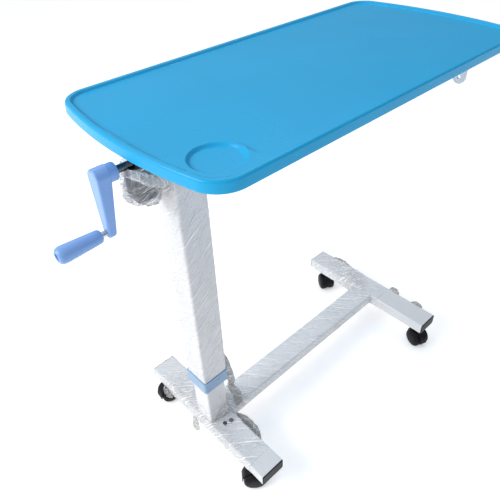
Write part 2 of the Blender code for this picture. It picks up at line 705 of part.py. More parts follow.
def make_grip():
    """The pin screwed into the arm's end and the grip that turns on it."""
    axis = (0.0, 0.0, SHAFT_Z - CRANK_THROW)
    outer_x = GRIP_INNER_X - GRIP_LENGTH
    seat = outer_x + GRIP_COUNTERBORE_DEPTH
    pin = (
        (CRANK_OUTER_X + CRANK_PIN_DEPTH - RUNNING_GAP, GRIP_PIN_RADIUS),
        (CRANK_OUTER_X - RUNNING_GAP, GRIP_PIN_RADIUS),
        (CRANK_OUTER_X - RUNNING_GAP, GRIP_PIN_COLLAR_RADIUS),
        (GRIP_INNER_X + RUNNING_GAP, GRIP_PIN_COLLAR_RADIUS),
        (GRIP_INNER_X + RUNNING_GAP, GRIP_PIN_RADIUS),
        (seat - RUNNING_GAP, GRIP_PIN_RADIUS),
        (seat - RUNNING_GAP, GRIP_PIN_HEAD_RADIUS),
        (seat - GRIP_PIN_HEAD, GRIP_PIN_HEAD_RADIUS),
        (seat - GRIP_PIN_HEAD - 0.0006, GRIP_PIN_HEAD_RADIUS - 0.0012),
    )
    turned("grip_pin", "bright_steel", "x", pin, axis, steps=24)
    bore = GRIP_PIN_RADIUS + RUNNING_GAP
    grip = (
        (GRIP_INNER_X, GRIP_INNER_RADIUS - GRIP_EDGE),
        (GRIP_INNER_X - 0.4 * GRIP_EDGE, GRIP_INNER_RADIUS - 0.4 * GRIP_EDGE),
        (GRIP_INNER_X - GRIP_EDGE, GRIP_INNER_RADIUS),
        (outer_x + 2 * GRIP_EDGE, GRIP_OUTER_RADIUS),
        (outer_x + 0.6 * GRIP_EDGE, GRIP_OUTER_RADIUS - 0.5 * GRIP_EDGE),
        (outer_x, GRIP_OUTER_RADIUS - 1.5 * GRIP_EDGE),
        (outer_x, GRIP_COUNTERBORE_RADIUS),
        (seat, GRIP_COUNTERBORE_RADIUS),
        (seat, bore),
        (GRIP_INNER_X, bore),
    )
    turned("crank_grip", "crank_blue", "x", grip, axis, ring=True)


# Base


def make_base():
    outer = rectangle(FOOT_WIDTH, FOOT_HEIGHT, FOOT_CORNER)
    inner = rectangle(FOOT_WIDTH - 2 * FOOT_WALL, FOOT_HEIGHT - 2 * FOOT_WALL, FOOT_INNER_CORNER)
    middle = FOOT_BOTTOM + FOOT_HEIGHT / 2
    half = FOOT_HALF_LENGTH - CAP_THICKNESS - RUNNING_GAP
    for name, x in (("near_foot", NEAR_FOOT_X), ("far_foot", FAR_FOOT_X)):
        foot = tube(name, "white_paint", "y", outer, inner, -half, half, (x, 0.0, middle))
        sides = (CASTER_Y, -CASTER_Y)
        cut(foot, *[foot_hole(circle(STEM_HOLE_RADIUS, 20), FOOT_BOTTOM, x, y) for y in sides])
        if x == NEAR_FOOT_X:
            shank = circle(BASE_BOLT_SHANK + RUNNING_GAP, 16)
            cut(foot, *[foot_hole(shank, FOOT_TOP, *bolt) for bolt in BASE_BOLTS])
        make_caps(name, x, middle)
    low = NEAR_FOOT_X + FOOT_WIDTH / 2 + RUNNING_GAP
    high = FAR_FOOT_X - FOOT_WIDTH / 2 - RUNNING_GAP
    tube("crossbar", "white_paint", "x", outer, inner, low, high, (0.0, 0.0, middle))
    make_base_bolts()


def foot_hole(outline, wall_z, x, y):
    return bar("hole", "white_paint", "z", outline, wall_z - CUT_PAST, wall_z + CUT_PAST, (x, y, 0.0))


def make_caps(name, x, middle):
    """The black caps pushed into a foot's two ends."""
    gap = 2 * (FOOT_WALL + RUNNING_GAP)
    flange = rectangle(FOOT_WIDTH, FOOT_HEIGHT, FOOT_CORNER)
    rounded = rectangle(FOOT_WIDTH - 2 * CAP_EDGE, FOOT_HEIGHT - 2 * CAP_EDGE, FOOT_CORNER)
    plug = rectangle(FOOT_WIDTH - gap, FOOT_HEIGHT - gap, FOOT_INNER_CORNER)
    end = FOOT_HALF_LENGTH - CAP_THICKNESS
    for side, way in (("left", 1.0), ("right", -1.0)):
        sections = (
            (plug, way * (end - CAP_PLUG_DEPTH)),
            (plug, way * end),
            (flange, way * end),
            (flange, way * (FOOT_HALF_LENGTH - CAP_EDGE)),
            (rounded, way * FOOT_HALF_LENGTH),
        )
        loft(f"{name}_cap_{side}", "black_plastic", loops_along("y", sections, (x, 0.0, middle)))


def make_base_bolts():
    """The two bolts beside the column's foot."""
    seat = FOOT_TOP + RUNNING_GAP
    for number, (x, y) in enumerate(BASE_BOLTS, 1):
        profile = (
            (seat - BASE_BOLT_LENGTH, BASE_BOLT_SHANK),
            (seat, BASE_BOLT_SHANK),
            (seat, BASE_BOLT_RADIUS),
            (seat + BASE_BOLT_HEAD - 0.001, BASE_BOLT_RADIUS),
            (seat + BASE_BOLT_HEAD, BASE_BOLT_RADIUS - 0.0015),
        )
        turned(f"base_bolt_{number}", "bright_steel", "z", profile, (x, y, 0.0), steps=18)


# Casters: drawn about the swivel axis at the origin, with the axle along X and the wheels behind, at +Y


def make_stem(name):
    profile = (
        (STEM_PIN_BOTTOM, STEM_PIN_RADIUS),
        (BOSS_TOP + RUNNING_GAP, STEM_PIN_RADIUS),
        (BOSS_TOP + RUNNING_GAP, STEM_DISC_RADIUS),
        (STEM_DISC_TOP, STEM_DISC_RADIUS),
        (STEM_DISC_TOP, STEM_PIN_RADIUS),
        (STEM_TOP, STEM_PIN_RADIUS),
    )
    return turned(name, "bright_steel", "z", profile, steps=20)


def make_hood(name):
    """The hood over the wheels, the web between them and the boss that turns on the stem, in one moulding."""
    shell = arc((TRAIL, WHEEL_RADIUS), HOOD_OUTER_RADIUS, HOOD_START, HOOD_END, 18)
    shell += reversed(arc((TRAIL, WHEEL_RADIUS), HOOD_INNER_RADIUS, HOOD_START, HOOD_END, 18))
    hood = bar(name, "black_plastic", "x", shell, -HOOD_HALF_WIDTH, HOOD_HALF_WIDTH)
    web = arc((TRAIL, WHEEL_RADIUS), WEB_RADIUS, HOOD_START, WEB_END, 16)
    web += arc((TRAIL, WHEEL_RADIUS), WEB_CHIN_RADIUS, *WEB_CHIN, 4)
    boss = ((BOSS_BOTTOM, BOSS_RADIUS), (BOSS_TOP, BOSS_RADIUS))
    join(
        hood,
        bar("web", "black_plastic", "x", web, -WEB_HALF_THICKNESS, WEB_HALF_THICKNESS),
        turned("boss", "black_plastic", "z", boss, steps=24),
    )
    pin = circle(STEM_PIN_RADIUS + RUNNING_GAP, 20)
    axle = circle(AXLE_RADIUS + RUNNING_GAP, 16)
    cut(
        hood,
        bar("pin_hole", "black_plastic", "z", pin, STEM_PIN_BOTTOM - RUNNING_GAP, BOSS_TOP + CUT_PAST),
        bar("axle_hole", "black_plastic", "x", axle, -CUT_PAST, CUT_PAST, (0.0, TRAIL, WHEEL_RADIUS)),
    )
    return hood


def make_axle(name):
    ends = ((-AXLE_HALF_LENGTH, AXLE_RADIUS), (AXLE_HALF_LENGTH, AXLE_RADIUS))
    return turned(name, "bright_steel", "x", ends, (0.0, TRAIL, WHEEL_RADIUS), steps=16)


def make_wheel(name, way):
    """A wheel with a domed outer face, drawn about its own middle; its bore opens towards the web."""
    bore = AXLE_RADIUS + RUNNING_GAP
    profile = (
        (way * WHEEL_OUTER, 0.0090),
        (way * (WHEEL_OUTER - 0.0007), 0.0160),
        (way * (WHEEL_OUTER - 0.0024), 0.0210),
        (way * (WHEEL_OUTER - 0.0050), 0.0238),
        (way * (WHEEL_OUTER - 0.0080), WHEEL_RADIUS),
        (way * (WHEEL_INNER + 0.0030), WHEEL_RADIUS),
        (way * WHEEL_INNER, WHEEL_RADIUS - 0.0020),
        (way * WHEEL_INNER, bore),
        (way * (AXLE_HALF_LENGTH + RUNNING_GAP), bore),
    )
    return turned(name, "wheel_rubber", "x", profile)


def make_casters():
    """One caster's shapes, shared by all four."""
    parts = {
        "stem": make_stem("stem"),
        "hood": make_hood("hood"),
        "axle": make_axle("axle"),
        "wheel_a": make_wheel("wheel_a", -1.0),
        "wheel_b": make_wheel("wheel_b", 1.0),
    }
    wheel_offset = Matrix.Translation((0.0, TRAIL, WHEEL_RADIUS))
    for caster, x, y, axle_way in CASTERS:
        turn = Matrix.Translation((x, y, 0.0)) @ Matrix.Rotation(math.radians(axle_way), 4, "Z")
        for name, part in parts.items():
            copy = bpy.data.objects.new(f"caster_{caster}_{name}", part.data)
            copy.matrix_world = turn @ wheel_offset if "wheel" in name else turn
            bpy.context.scene.collection.objects.link(copy)
    for part in parts.values():
        bpy.data.objects.remove(part, do_unlink=True)


def move_origin():
    """Moves everything so that the origin is the bottom centre of the bounding box."""
    bpy.context.view_layer.update()
    corners = [
        item.matrix_world @ vertex.co for item in bpy.context.scene.objects for vertex in item.data.vertices
    ]
    low = [min(corner[axis] for corner in corners) for axis in range(3)]
    high = [max(corner[axis] for corner in corners) for axis in range(3)]
    shift = Vector((-(low[0] + high[0]) / 2, -(low[1] + high[1]) / 2, -low[2]))
    print("origin moved by", tuple(round(value, 6) for value in shift))
    for item in bpy.context.scene.objects:
        item.matrix_world = Matrix.Translation(shift) @ item.matrix_world


def main():
    clear_scene()
    make_tray()
    make_frame()
    make_ears()
    make_head_plate()
    make_column()
    make_screw()
    make_miter_gears()
    make_shaft()
    make_bearing_block()
    make_crank()
    make_grip()
    make_base()
    make_casters()
    move_origin()


main()
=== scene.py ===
"""The looks of an overbed table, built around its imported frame.

The tray, the crank arm, the grip, the wheels, the hoods and the screws are finer pieces that stand for
their plain solids. The other solids keep their shape and get materials. Clear packing film lies over the
painted steel as thin wrinkled sheets. "Tray frame" means metres from the point on the floor under the
tray's middle. A profile is a list of (distance along, radius) pairs.
"""

import math

import bmesh
import bpy
import numpy as np
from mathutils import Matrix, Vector, geometry, noise


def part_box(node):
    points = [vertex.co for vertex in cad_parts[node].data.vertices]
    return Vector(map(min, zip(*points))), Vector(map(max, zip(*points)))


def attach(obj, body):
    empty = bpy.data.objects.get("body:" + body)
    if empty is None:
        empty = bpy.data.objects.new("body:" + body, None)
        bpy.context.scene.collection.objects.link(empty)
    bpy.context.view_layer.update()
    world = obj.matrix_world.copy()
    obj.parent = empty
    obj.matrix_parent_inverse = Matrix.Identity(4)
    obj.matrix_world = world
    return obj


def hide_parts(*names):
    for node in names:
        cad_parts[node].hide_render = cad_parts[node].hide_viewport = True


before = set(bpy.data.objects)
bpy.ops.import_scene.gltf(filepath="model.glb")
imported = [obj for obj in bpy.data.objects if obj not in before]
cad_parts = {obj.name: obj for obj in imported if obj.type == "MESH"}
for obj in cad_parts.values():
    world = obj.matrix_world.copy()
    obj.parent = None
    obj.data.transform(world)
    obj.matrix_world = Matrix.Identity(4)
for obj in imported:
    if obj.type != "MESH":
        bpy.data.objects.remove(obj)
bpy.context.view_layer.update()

TRAY_LOW, TRAY_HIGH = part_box("table_top")
MIDDLE = Vector(((TRAY_LOW.x + TRAY_HIGH.x) / 2, (TRAY_LOW.y + TRAY_HIGH.y) / 2, 0.0))
TRAY_TOP = TRAY_HIGH.z
UP = Vector((0.0, 0.0, 1.0))
ALONG_TRAY = Vector((1.0, 0.0, 0.0))
TOWARDS_SCREW = Vector((0.0, -1.0, 0.0))
QUARTER = math.pi / 2
MATERIALS = {}

# Plastics: name, colour, scuffed colour, roughness range, grain and its depth, specular level, scuffs
PLASTICS = (
    ("tray_blue", (0.006, 0.385, 0.725), (0.02, 0.41, 0.74), (0.25, 0.32), 900.0, 0.00001, 0.30, 0.03),
    ("crank_blue", (0.215, 0.400, 0.790), (0.34, 0.50, 0.82), (0.22, 0.32), 520.0, 0.00012, 0.45, 0.16),
    ("collar_blue", (0.25, 0.40, 0.58), (0.40, 0.52, 0.66), (0.34, 0.44), 600.0, 0.00015),
    ("black_plastic", (0.008, 0.008, 0.011), (0.04, 0.04, 0.05), (0.34, 0.46), 520.0, 0.00025, 0.15),
    ("grey_plastic", (0.42, 0.42, 0.41), (0.55, 0.55, 0.54), (0.45, 0.55), 520.0, 0.00020),
)

# Metals: name, colour, roughness range and how the turning lines are squeezed along each axis
METALS = (
    ("bright_steel", (0.62, 0.63, 0.65), (0.18, 0.36), (300.0, 30.0, 30.0)),
    # A dark steel, used on the crank shaft and the hex heads.
    ("dark_steel", (0.16, 0.16, 0.17), (0.16, 0.30), (30.0, 300.0, 300.0)),
    ("bronze_bush", (0.66, 0.47, 0.22), (0.28, 0.45), (60.0, 60.0, 300.0)),
)

# Films: name, colour where it is loose (a dark painted shade on the gathered film), colour of its creases and
# lines (a painted highlight) and how strong its long lines are
FILMS = (
    ("clear_film", (0.78, 0.78, 0.78), (1.0, 1.0, 1.0), 1.0),
    ("gathered_film", (0.30, 0.29, 0.28), (0.86, 0.86, 0.87), 0.35),
)

# Tray outline: two straight sides, two bulging ends and four round corners
TRAY_LENGTH = TRAY_HIGH.x - TRAY_LOW.x
HALF_WIDTH = (TRAY_HIGH.y - TRAY_LOW.y) / 2
TRAY_END_BULGE = 0.025
TRAY_CORNER = 0.050
END_RADIUS = (HALF_WIDTH**2 + TRAY_END_BULGE**2) / (2 * TRAY_END_BULGE)
END_X = TRAY_LENGTH / 2 - END_RADIUS
CORNER_REACH = END_RADIUS - TRAY_CORNER
CORNER_Y = HALF_WIDTH - TRAY_CORNER
CORNER_X = END_X + math.sqrt(CORNER_REACH**2 - CORNER_Y**2)
END_TURN = math.asin(CORNER_Y / CORNER_REACH)
FINE_SPACING = 0.002
COARSE_SPACING = 0.010
FINE_SIDE_END = -0.240
COARSE_SIDE_START = -0.232

# Tray section: distances inwards from the outline and down from the rim's top
TRAY_SKIRT = TRAY_HIGH.z - TRAY_LOW.z
WELL_DEPTH = 0.005
SLAB_BOTTOM = 0.0095
RIM_TOP_INSET = 0.0054
RIM_SLOPE_START = 0.0092
RIM_SLOPE_END = 0.0155
RIM_FLAT = 0.0014
RIM_ROUND_DOWN = 0.0042
RIM_ROUND_STEPS = 8
SKIRT_OUTSIDE = ((0.0009, 0.0090), (0.0003, 0.0150), (0.0002, 0.0168), (0.0006, 0.0176), (0.0014, TRAY_SKIRT))
SKIRT_INSIDE = ((0.0030, TRAY_SKIRT), (0.0037, 0.0176), (0.0040, 0.0168), (0.0047, 0.0110), (0.0051, 0.0100))
SLAB_EDGE = ((0.0062, SLAB_BOTTOM), (0.0090, SLAB_BOTTOM))

# Raised corner and cup recess, in the tray frame
PLATEAU_BELOW = 0.0002
PLATEAU_SLOPE_START = -0.0012
PLATEAU_SLOPE_END = 0.0042
PLATEAU_RADIUS = 0.044
PLATEAU_FILLET = 0.030
PLATEAU_SMALL_FILLET = 0.010
PLATEAU_CUP_END = 92.0
PLATEAU_LEAD = 0.030
PLATEAU_SIDE_Y = -0.189
PLATEAU_LINE_X = -0.388
PLATEAU_LINE_Y = -0.090
PLATEAU_SPACING = 0.0016
CUP_CENTRE = (-0.340, -0.140)
CUP_WALL_START = 0.0342
CUP_WALL_END = 0.0406
JOIN_SOFTNESS = 0.0012
JOIN_START = 0.0075
JOIN_RUN = 0.002

# Where the tray's upper face gets its points
FACE_INSETS = (
    0.0070, 0.0085, 0.0092, 0.0099, 0.0106, 0.0114, 0.0123, 0.0132, 0.0141, 0.0149, 0.0157, 0.0180, 0.0240,
)
CUP_RINGS = (
    0.0120, 0.0240, 0.0320, 0.0342, 0.0350, 0.0358, 0.0366, 0.0374, 0.0382, 0.0390, 0.0398, 0.0406, 0.0416,
)
CUP_STEPS = 120
PLATEAU_OFFSETS = (-0.0014, -0.0006, 0.0002, 0.0010, 0.0018, 0.0026, 0.0034, 0.0042, 0.0060)
GRID_X = np.arange(-0.38, 0.39, 0.02)
GRID_Y = np.arange(-0.17, 0.18, 0.02)
POINT_GAP = 0.0007
BORDER_GAP = 0.0004
NORMAL_STEP = 0.00005
POINTS_AT_ONCE = 2000

# Crank
CRANK_THROW = 0.090
HUB_RADIUS = 0.0145
HUB_DEPTH = 0.0245
ARM_END_RADIUS = 0.0095
ARM_END_DEPTH = 0.0120
ARM_EDGE = 0.0030
BOSS_OVERLAP = 0.006
BOSS_START_RADII = (0.0040, 0.0136)
BOSS_RIM = (
    (0.0020, 0.0136), (0.0006, 0.0130), (0.0, 0.0118), (0.0, 0.0074), (0.0012, 0.0066), (0.0012, 0.0063),
)
BOSS_BORE = 0.0063

# Grip profile, inwards from its two ends
GRIP_BORE = (0.0003, 0.0036)
GRIP_NEAR_END = (
    (0.0, 0.0060), (0.0004, 0.0085), (0.0016, 0.0100), (0.0040, 0.0108), (0.0120, 0.0113), (0.0350, 0.0124),
)
GRIP_FAR_END = (
    (0.0120, 0.0136), (0.0085, 0.0135), (0.0055, 0.0130), (0.0030, 0.0120), (0.0012, 0.0106),
    (0.0003, 0.0091), (0.0, 0.0078), (0.0002, 0.0071), (0.0008, 0.0067), (0.0060, 0.0066), (0.0060, 0.0036),
)

# Wheel profile, inwards from its two sides; the sides are measured from the middle of the axle
WHEEL_INNER = 0.0042
WHEEL_OUTER = 0.0228
WHEEL_BORE = 0.0035
WHEEL_INNER_SIDE = ((0.0, WHEEL_BORE), (0.0, 0.0222), (0.0008, 0.0240), (0.0022, 0.0248), (0.0040, 0.0250))
WHEEL_OUTER_SIDE = (
    (0.0080, 0.0250), (0.0062, 0.0246), (0.0046, 0.0236), (0.0032, 0.0221), (0.0029, 0.0214),
    (0.0034, 0.0208), (0.0030, 0.0200), (0.0016, 0.0178), (0.0007, 0.0150), (0.0001, 0.0105),
    (0.0, 0.0060), (0.0, 0.0006), (0.0030, 0.0006), (0.0030, WHEEL_BORE),
)

# Caster hood: a shell over the wheels, a web between them and a boss round the stem
CASTER_TRAIL = 0.018
HOOD_OUTSIDE = 0.0288
HOOD_INSIDE = 0.0264
HOOD_ARC = (-8.0, 180.0, 40)
HOOD_EDGE = (
    (-0.0110, 0.0010), (-0.0107, 0.0004), (-0.0098, 0.0001), (-0.0080, 0.0),
    (0.0080, 0.0), (0.0098, 0.0001), (0.0107, 0.0004), (0.0110, 0.0010),
)
WEB_HALF = 0.0034
WEB_ARCS = ((0.0270, -8.0, 198.0, 32), (0.0080, 215.0, 110.0, 8))
HOOD_BOSS = (
    (0.0490, 0.0053), (0.0490, 0.0092), (0.0584, 0.0088), (0.0593, 0.0080), (0.0593, 0.0053),
    (0.0490, 0.0053),
)

# Screws: heights above the seat, and radii
BOLT_HEAD_DEPTH = 0.004
BOLT_HEAD_RADIUS = 0.0054
BOLT_HEAD_LEVELS = ((0.0010, 0.30), (0.0010, 0.98), (0.0034, 1.0))
BOLT_TOP_SCALE = 0.84
SHANK_SCALE = 0.30
WASHER = ((0.0, 0.0028), (0.0, 0.0062), (0.0008, 0.0062), (0.0010, 0.0059), (0.0010, 0.0028), (0.0, 0.0028))
PAN_RADIUS = 0.0030
PAN_CROWN = 0.0014
PAN_RINGS = 14
PAN_STEPS = 48
CROSS_HALF = 0.00042
CROSS_REACH = 0.0019
CROSS_DEPTH = 0.0009
PAN_CENTRE = -0.0010
PAN_SHANK = ((-0.0016, PAN_RADIUS), (-0.0016, 0.0014), (-0.0058, 0.0014))

# Weld beads: their radii, and how far they sit inside the edges that they follow
BEAD_SPACING = 0.0016
BEAD_SIDES = 8
BEAD_RIPPLE = 2.1
EAR_WELD = (0.002, 0.012)
WELD_DROP = 0.001
FOOT_WELD_RISE = 0.0004
COLUMN_BEAD = 0.0022
CROSSBAR_BEAD = 0.0020
RAIL_BEAD = 0.0018
EAR_BEAD = 0.0014

# Packing film; SHEET_FACES is the way that the flat side of a loose tail faces
FILM_THICKNESS = 0.00016
FILM_GAP = 0.0004
FILM_HAZE = 0.02
SLEEVE_STEP = 0.0032
SHEET_FACES = Vector((-0.58, -0.50, 0.64))
TAIL_STEPS = 14
TAIL_SIDES = 20
TAIL_FLATNESS = 0.35
TAIL_CRUMPLE = 0.0035
POUCH_OFFSET = Vector((0.001, 0.002, -0.0123))
POUCH_HALF = (0.0215, 0.0225, 0.036)
POUCH_ROWS = 40
POUCH_COLUMNS = 72
POUCH_SEED = 6.4
POUCH_CRUMPLE = 0.0055
POUCH_HAZE = 0.065
POUCH_OPENING = 4.5
POUCH_SQUARENESS = 0.55

# Where the sleeves of film end: bare lengths at the ends of the tubes, and places on the floor's scale
COLUMN_BARE = 0.001
POST_BARE = 0.0006
POST_FILM_TOP = 0.136
NEAR_FOOT_BARE = 0.037
FAR_FOOT_REACH = 0.052
CAP_BARE = 0.0005
CROSSBAR_BARE = 0.0008

# How each sleeve lies: the tube's corner radius, then the height, spacing and length of its folds
COLUMN_LOOK = (0.0042, 0.0009, 0.016, 0.110)
POST_LOOK = (0.0042, 0.0008, 0.012, 0.060)
BASE_LOOK = (0.0034, 0.0008, 0.012, 0.060)

# Where the film bunches up: the middle in the tray frame, the reach, and the extra height and haze there
COLUMN_SPOTS = (
    ((-0.325, -0.030, 0.775), 0.060, 0.0040, 0.14),
    ((-0.340, 0.000, 0.770), 0.055, 0.0045, 0.14),
    ((-0.280, -0.028, 0.790), 0.040, 0.0030, 0.10),
    ((-0.340, 0.000, 0.480), 0.040, 0.0010, 0.03),
)
POST_SPOTS = (((-0.300, -0.030, 0.098), 0.030, 0.0040, 0.16), ((-0.283, 0.000, 0.110), 0.040, 0.0040, 0.16))
NEAR_FOOT_SPOTS = (
    ((-0.325, 0.060, 0.095), 0.085, 0.0035, 0.10),
    ((-0.340, 0.130, 0.085), 0.060, 0.0022, 0.06),
    ((-0.272, -0.030, 0.095), 0.026, 0.0030, 0.10),
    ((-0.338, -0.040, 0.072), 0.060, 0.0030, 0.12),
    ((-0.335, -0.120, 0.070), 0.060, 0.0022, 0.08),
)
FAR_FOOT_SPOTS = (
    ((0.262, 0.045, 0.088), 0.055, 0.0045, 0.22),
    ((0.320, 0.100, 0.085), 0.070, 0.0040, 0.10),
    ((0.290, 0.150, 0.095), 0.060, 0.0016, 0.05),
)
CROSSBAR_SPOTS = (
    ((-0.262, 0.000, 0.090), 0.050, 0.0040, 0.16),
    ((0.120, -0.010, 0.095), 0.050, 0.0012, 0.04),
    ((0.250, 0.010, 0.095), 0.040, 0.0020, 0.06),
)

# Sleeves of film: name, body, tube, its axis, points round, seed, lean of the folds, look and spots
SLEEVES = (
    ("film_column", "lifting_top", "outer_column", "z", 84, 3.7, 0.9, COLUMN_LOOK, COLUMN_SPOTS),
    ("film_column_foot", "base", "inner_column", "z", 72, 8.1, 0.5, POST_LOOK, POST_SPOTS),
    ("film_near_foot", "base", "near_foot", "y", 66, 5.3, 1.25, BASE_LOOK, NEAR_FOOT_SPOTS),
    ("film_far_foot", "base", "far_foot", "y", 66, 11.9, 1.25, BASE_LOOK, FAR_FOOT_SPOTS),
    ("film_crossbar", "base", "crossbar", "x", 66, 2.2, 2.12, BASE_LOOK, CROSSBAR_SPOTS),
)

# Loose tails: name, body, material, seed, haze (how much of the loose colour shows, a painted shade on the
# gathered film), and (x, y, z, half width) stations in the tray frame
TAILS = (
    ("film_block_tail", "lifting_top", "gathered_film", 1.4, 0.26, (
        (-0.392, 0.010, 0.762, 0.003), (-0.392, 0.016, 0.744, 0.005),
        (-0.392, 0.022, 0.724, 0.006), (-0.390, 0.018, 0.710, 0.003),
    )),
    ("film_block_drape", "lifting_top", "gathered_film", 4.1, 0.22, (
        (-0.388, 0.008, 0.722, 0.004), (-0.371, 0.012, 0.712, 0.009),
        (-0.354, 0.016, 0.704, 0.012), (-0.343, 0.010, 0.722, 0.008),
    )),
    ("film_block_gather", "lifting_top", "clear_film", 2.9, 0.34, (
        (-0.397, 0.014, 0.768, 0.003), (-0.396, -0.018, 0.777, 0.006),
        (-0.374, -0.026, 0.762, 0.008), (-0.340, -0.028, 0.744, 0.006),
    )),
    ("film_column_tail", "base", "gathered_film", 7.7, 0.50, (
        (-0.275, -0.014, 0.292, 0.002), (-0.269, -0.016, 0.250, 0.006),
        (-0.265, -0.017, 0.210, 0.009), (-0.258, -0.018, 0.155, 0.008),
    )),
    ("film_foot_gather", "base", "gathered_film", 4.6, 0.30, (
        (-0.268, -0.014, 0.175, 0.004), (-0.258, -0.018, 0.146, 0.008),
        (-0.252, -0.026, 0.116, 0.010), (-0.262, -0.033, 0.099, 0.008),
    )),
    ("film_foot_drop", "base", "gathered_film", 3.3, 0.26, (
        (-0.343, 0.036, 0.068, 0.004), (-0.347, 0.026, 0.058, 0.007),
        (-0.350, 0.016, 0.052, 0.007), (-0.349, 0.006, 0.057, 0.003),
    )),
    ("film_foot_edge", "base", "gathered_film", 9.1, 0.55, (
        (-0.272, -0.034, 0.082, 0.003), (-0.265, -0.060, 0.076, 0.008),
        (-0.264, -0.092, 0.070, 0.009), (-0.275, -0.128, 0.070, 0.004),
    )),
    ("film_caster_scrap", "base", "gathered_film", 5.9, 0.24, (
        (-0.338, 0.158, 0.068, 0.003), (-0.345, 0.146, 0.060, 0.007),
        (-0.346, 0.132, 0.058, 0.007), (-0.341, 0.118, 0.064, 0.003),
    )),
    ("film_far_edge", "base", "gathered_film", 6.8, 0.60, (
        (0.322, 0.172, 0.082, 0.003), (0.328, 0.148, 0.084, 0.006),
        (0.330, 0.118, 0.084, 0.007), (0.323, 0.092, 0.084, 0.003),
    )),
    ("film_far_scrap", "base", "gathered_film", 8.8, 0.45, (
        (0.322, -0.050, 0.090, 0.003), (0.329, -0.060, 0.092, 0.006),
        (0.330, -0.070, 0.090, 0.006), (0.323, -0.082, 0.088, 0.003),
    )),
    ("film_far_chip", "base", "gathered_film", 3.9, 0.65, (
        (0.321, -0.122, 0.086, 0.002), (0.325, -0.134, 0.091, 0.005),
        (0.326, -0.148, 0.091, 0.005), (0.321, -0.160, 0.086, 0.002),
    )),
)

# Studio
FLOOR_HALF = 9.0
FLOOR_GLOW = 0.34
LIGHT_TARGET = (0.0, 0.0, 0.45)
CAMERA_LENS = 36.435
CAMERA_PLACE = (-0.6855, -0.5861, 1.1364)
CAMERA_ANGLES = (50.7767, 2.1422, -43.0893)


# Small helpers


def at(x, y, z):
    """A point given in the tray frame."""
    return MIDDLE + Vector((x, y, z))


def smooth_step(value):
    value = np.clip(value, 0.0, 1.0)
    return value * value * (3.0 - 2.0 * value)


def angles_round(steps):
    """Evenly spaced angles round a whole turn."""
    return [2 * math.pi * step / steps for step in range(steps)]


def ring(radius, height, steps):
    """Points round a circle about +Z."""
    return [Vector((radius * math.cos(a), radius * math.sin(a), height)) for a in angles_round(steps)]


def arc(x, y, radius, start, end, steps):
    """Points along an arc, with both its ends."""
    angles = [start + (end - start) * step / steps for step in range(steps + 1)]
    return [(x + radius * math.cos(angle), y + radius * math.sin(angle)) for angle in angles]


def make_object(name, points, faces, smooth=True):
    mesh = bpy.data.meshes.new(name)
    mesh.from_pydata([tuple(p) for p in points], [], faces)
    mesh.polygons.foreach_set("use_smooth", [smooth] * len(mesh.polygons))
    made = bpy.data.objects.new(name, mesh)
    bpy.context.scene.collection.objects.link(made)
    return made


def finish_piece(made, body, slot, node=None, material=None):
    """Gives a piece its material and its body, and hides the solid that it stands for."""
    made.data.materials.append(MATERIALS[material or slot])
    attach(made, body)
    if node:
        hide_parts(node)


def strip_faces(rows, columns, start=0):
    """Quads between loops of equal count, each loop closed on itself."""
    faces = []
    for row in range(rows - 1):
        for column in range(columns):
            after = (column + 1) % columns
            low, high = start + row * columns, start + (row + 1) * columns
            faces.append((low + column, low + after, high + after, high + column))
    return faces


def lofted(name, points, columns, ends="capped", smooth=True):
    """A surface through loops of points: its ends are capped, open, or joined to each other."""
    rows = len(points) // columns
    last = (rows - 1) * columns
    faces = strip_faces(rows, columns)
    if ends == "joined":
        faces += [(last + i, last + (i + 1) % columns, (i + 1) % columns, i) for i in range(columns)]
    if ends == "capped":
        faces += [tuple(reversed(range(columns))), tuple(range(last, last + columns))]
    made = make_object(name, points, faces, smooth)
    face_outwards(made)
    return made


def axis_frame(axis):
    """A rotation that takes +Z to an axis."""
    return UP.rotation_difference(Vector(axis)).to_matrix()


def turned(name, profile, centre, axis, steps=64):
    """A closed turned body; a profile that comes back to its start makes a ring."""
    turn = axis_frame(axis)
    joined = profile[0] == profile[-1]
    points = []
    for along, radius in profile[:-1] if joined else profile:
        points += [Vector(centre) + turn @ point for point in ring(radius, along, steps)]
    made = lofted(name, points, steps, "joined" if joined else "capped")
    sharpen(made, 35.0)
    return made


def face_outwards(made):
    shape = bmesh.new()
    shape.from_mesh(made.data)
    bmesh.ops.recalc_face_normals(shape, faces=shape.faces)
    shape.to_mesh(made.data)
    shape.free()


def sharpen(made, angle):
    """Smooth shading that breaks at edges sharper than an angle in degrees."""
    made.data.set_sharp_from_angle(angle=math.radians(angle))


def bevel(made, width, segments, angle):
    """Rounds the edges sharper than an angle in degrees."""
    change = made.modifiers.new("bevel", "BEVEL")
    change.width = width
    change.segments = segments
    change.limit_method = "ANGLE"
    change.angle_limit = math.radians(angle)
    change.harden_normals = True


# Materials


def add_node(tree, kind, inputs=(), **settings):
    made = tree.nodes.new(kind)
    for key, value in settings.items():
        setattr(made, key, value)
    for key, value in dict(inputs).items():
        feed(tree, made.inputs[key], value)
    return made


def feed(tree, socket, value):
    """Links a socket to another one, or sets it to a constant."""
    if isinstance(value, bpy.types.NodeSocket):
        tree.links.new(value, socket)
    else:
        socket.default_value = value


def new_material(name, **constants):
    made = bpy.data.materials.new(name)
    made.use_nodes = True
    shader = made.node_tree.nodes["Principled BSDF"]
    for key, value in constants.items():
        shader.inputs[key.replace("_", " ").title().replace("Ior", "IOR")].default_value = value
    MATERIALS[name] = made
    return made.node_tree, shader


def place(tree, scale=(1.0, 1.0, 1.0), turn=(0.0, 0.0, 0.0)):
    """Object coordinates, scaled and turned."""
    source = add_node(tree, "ShaderNodeTexCoord").outputs["Object"]
    mapping = add_node(tree, "ShaderNodeMapping", {"Vector": source, "Scale": scale, "Rotation": turn})
    return mapping.outputs["Vector"]


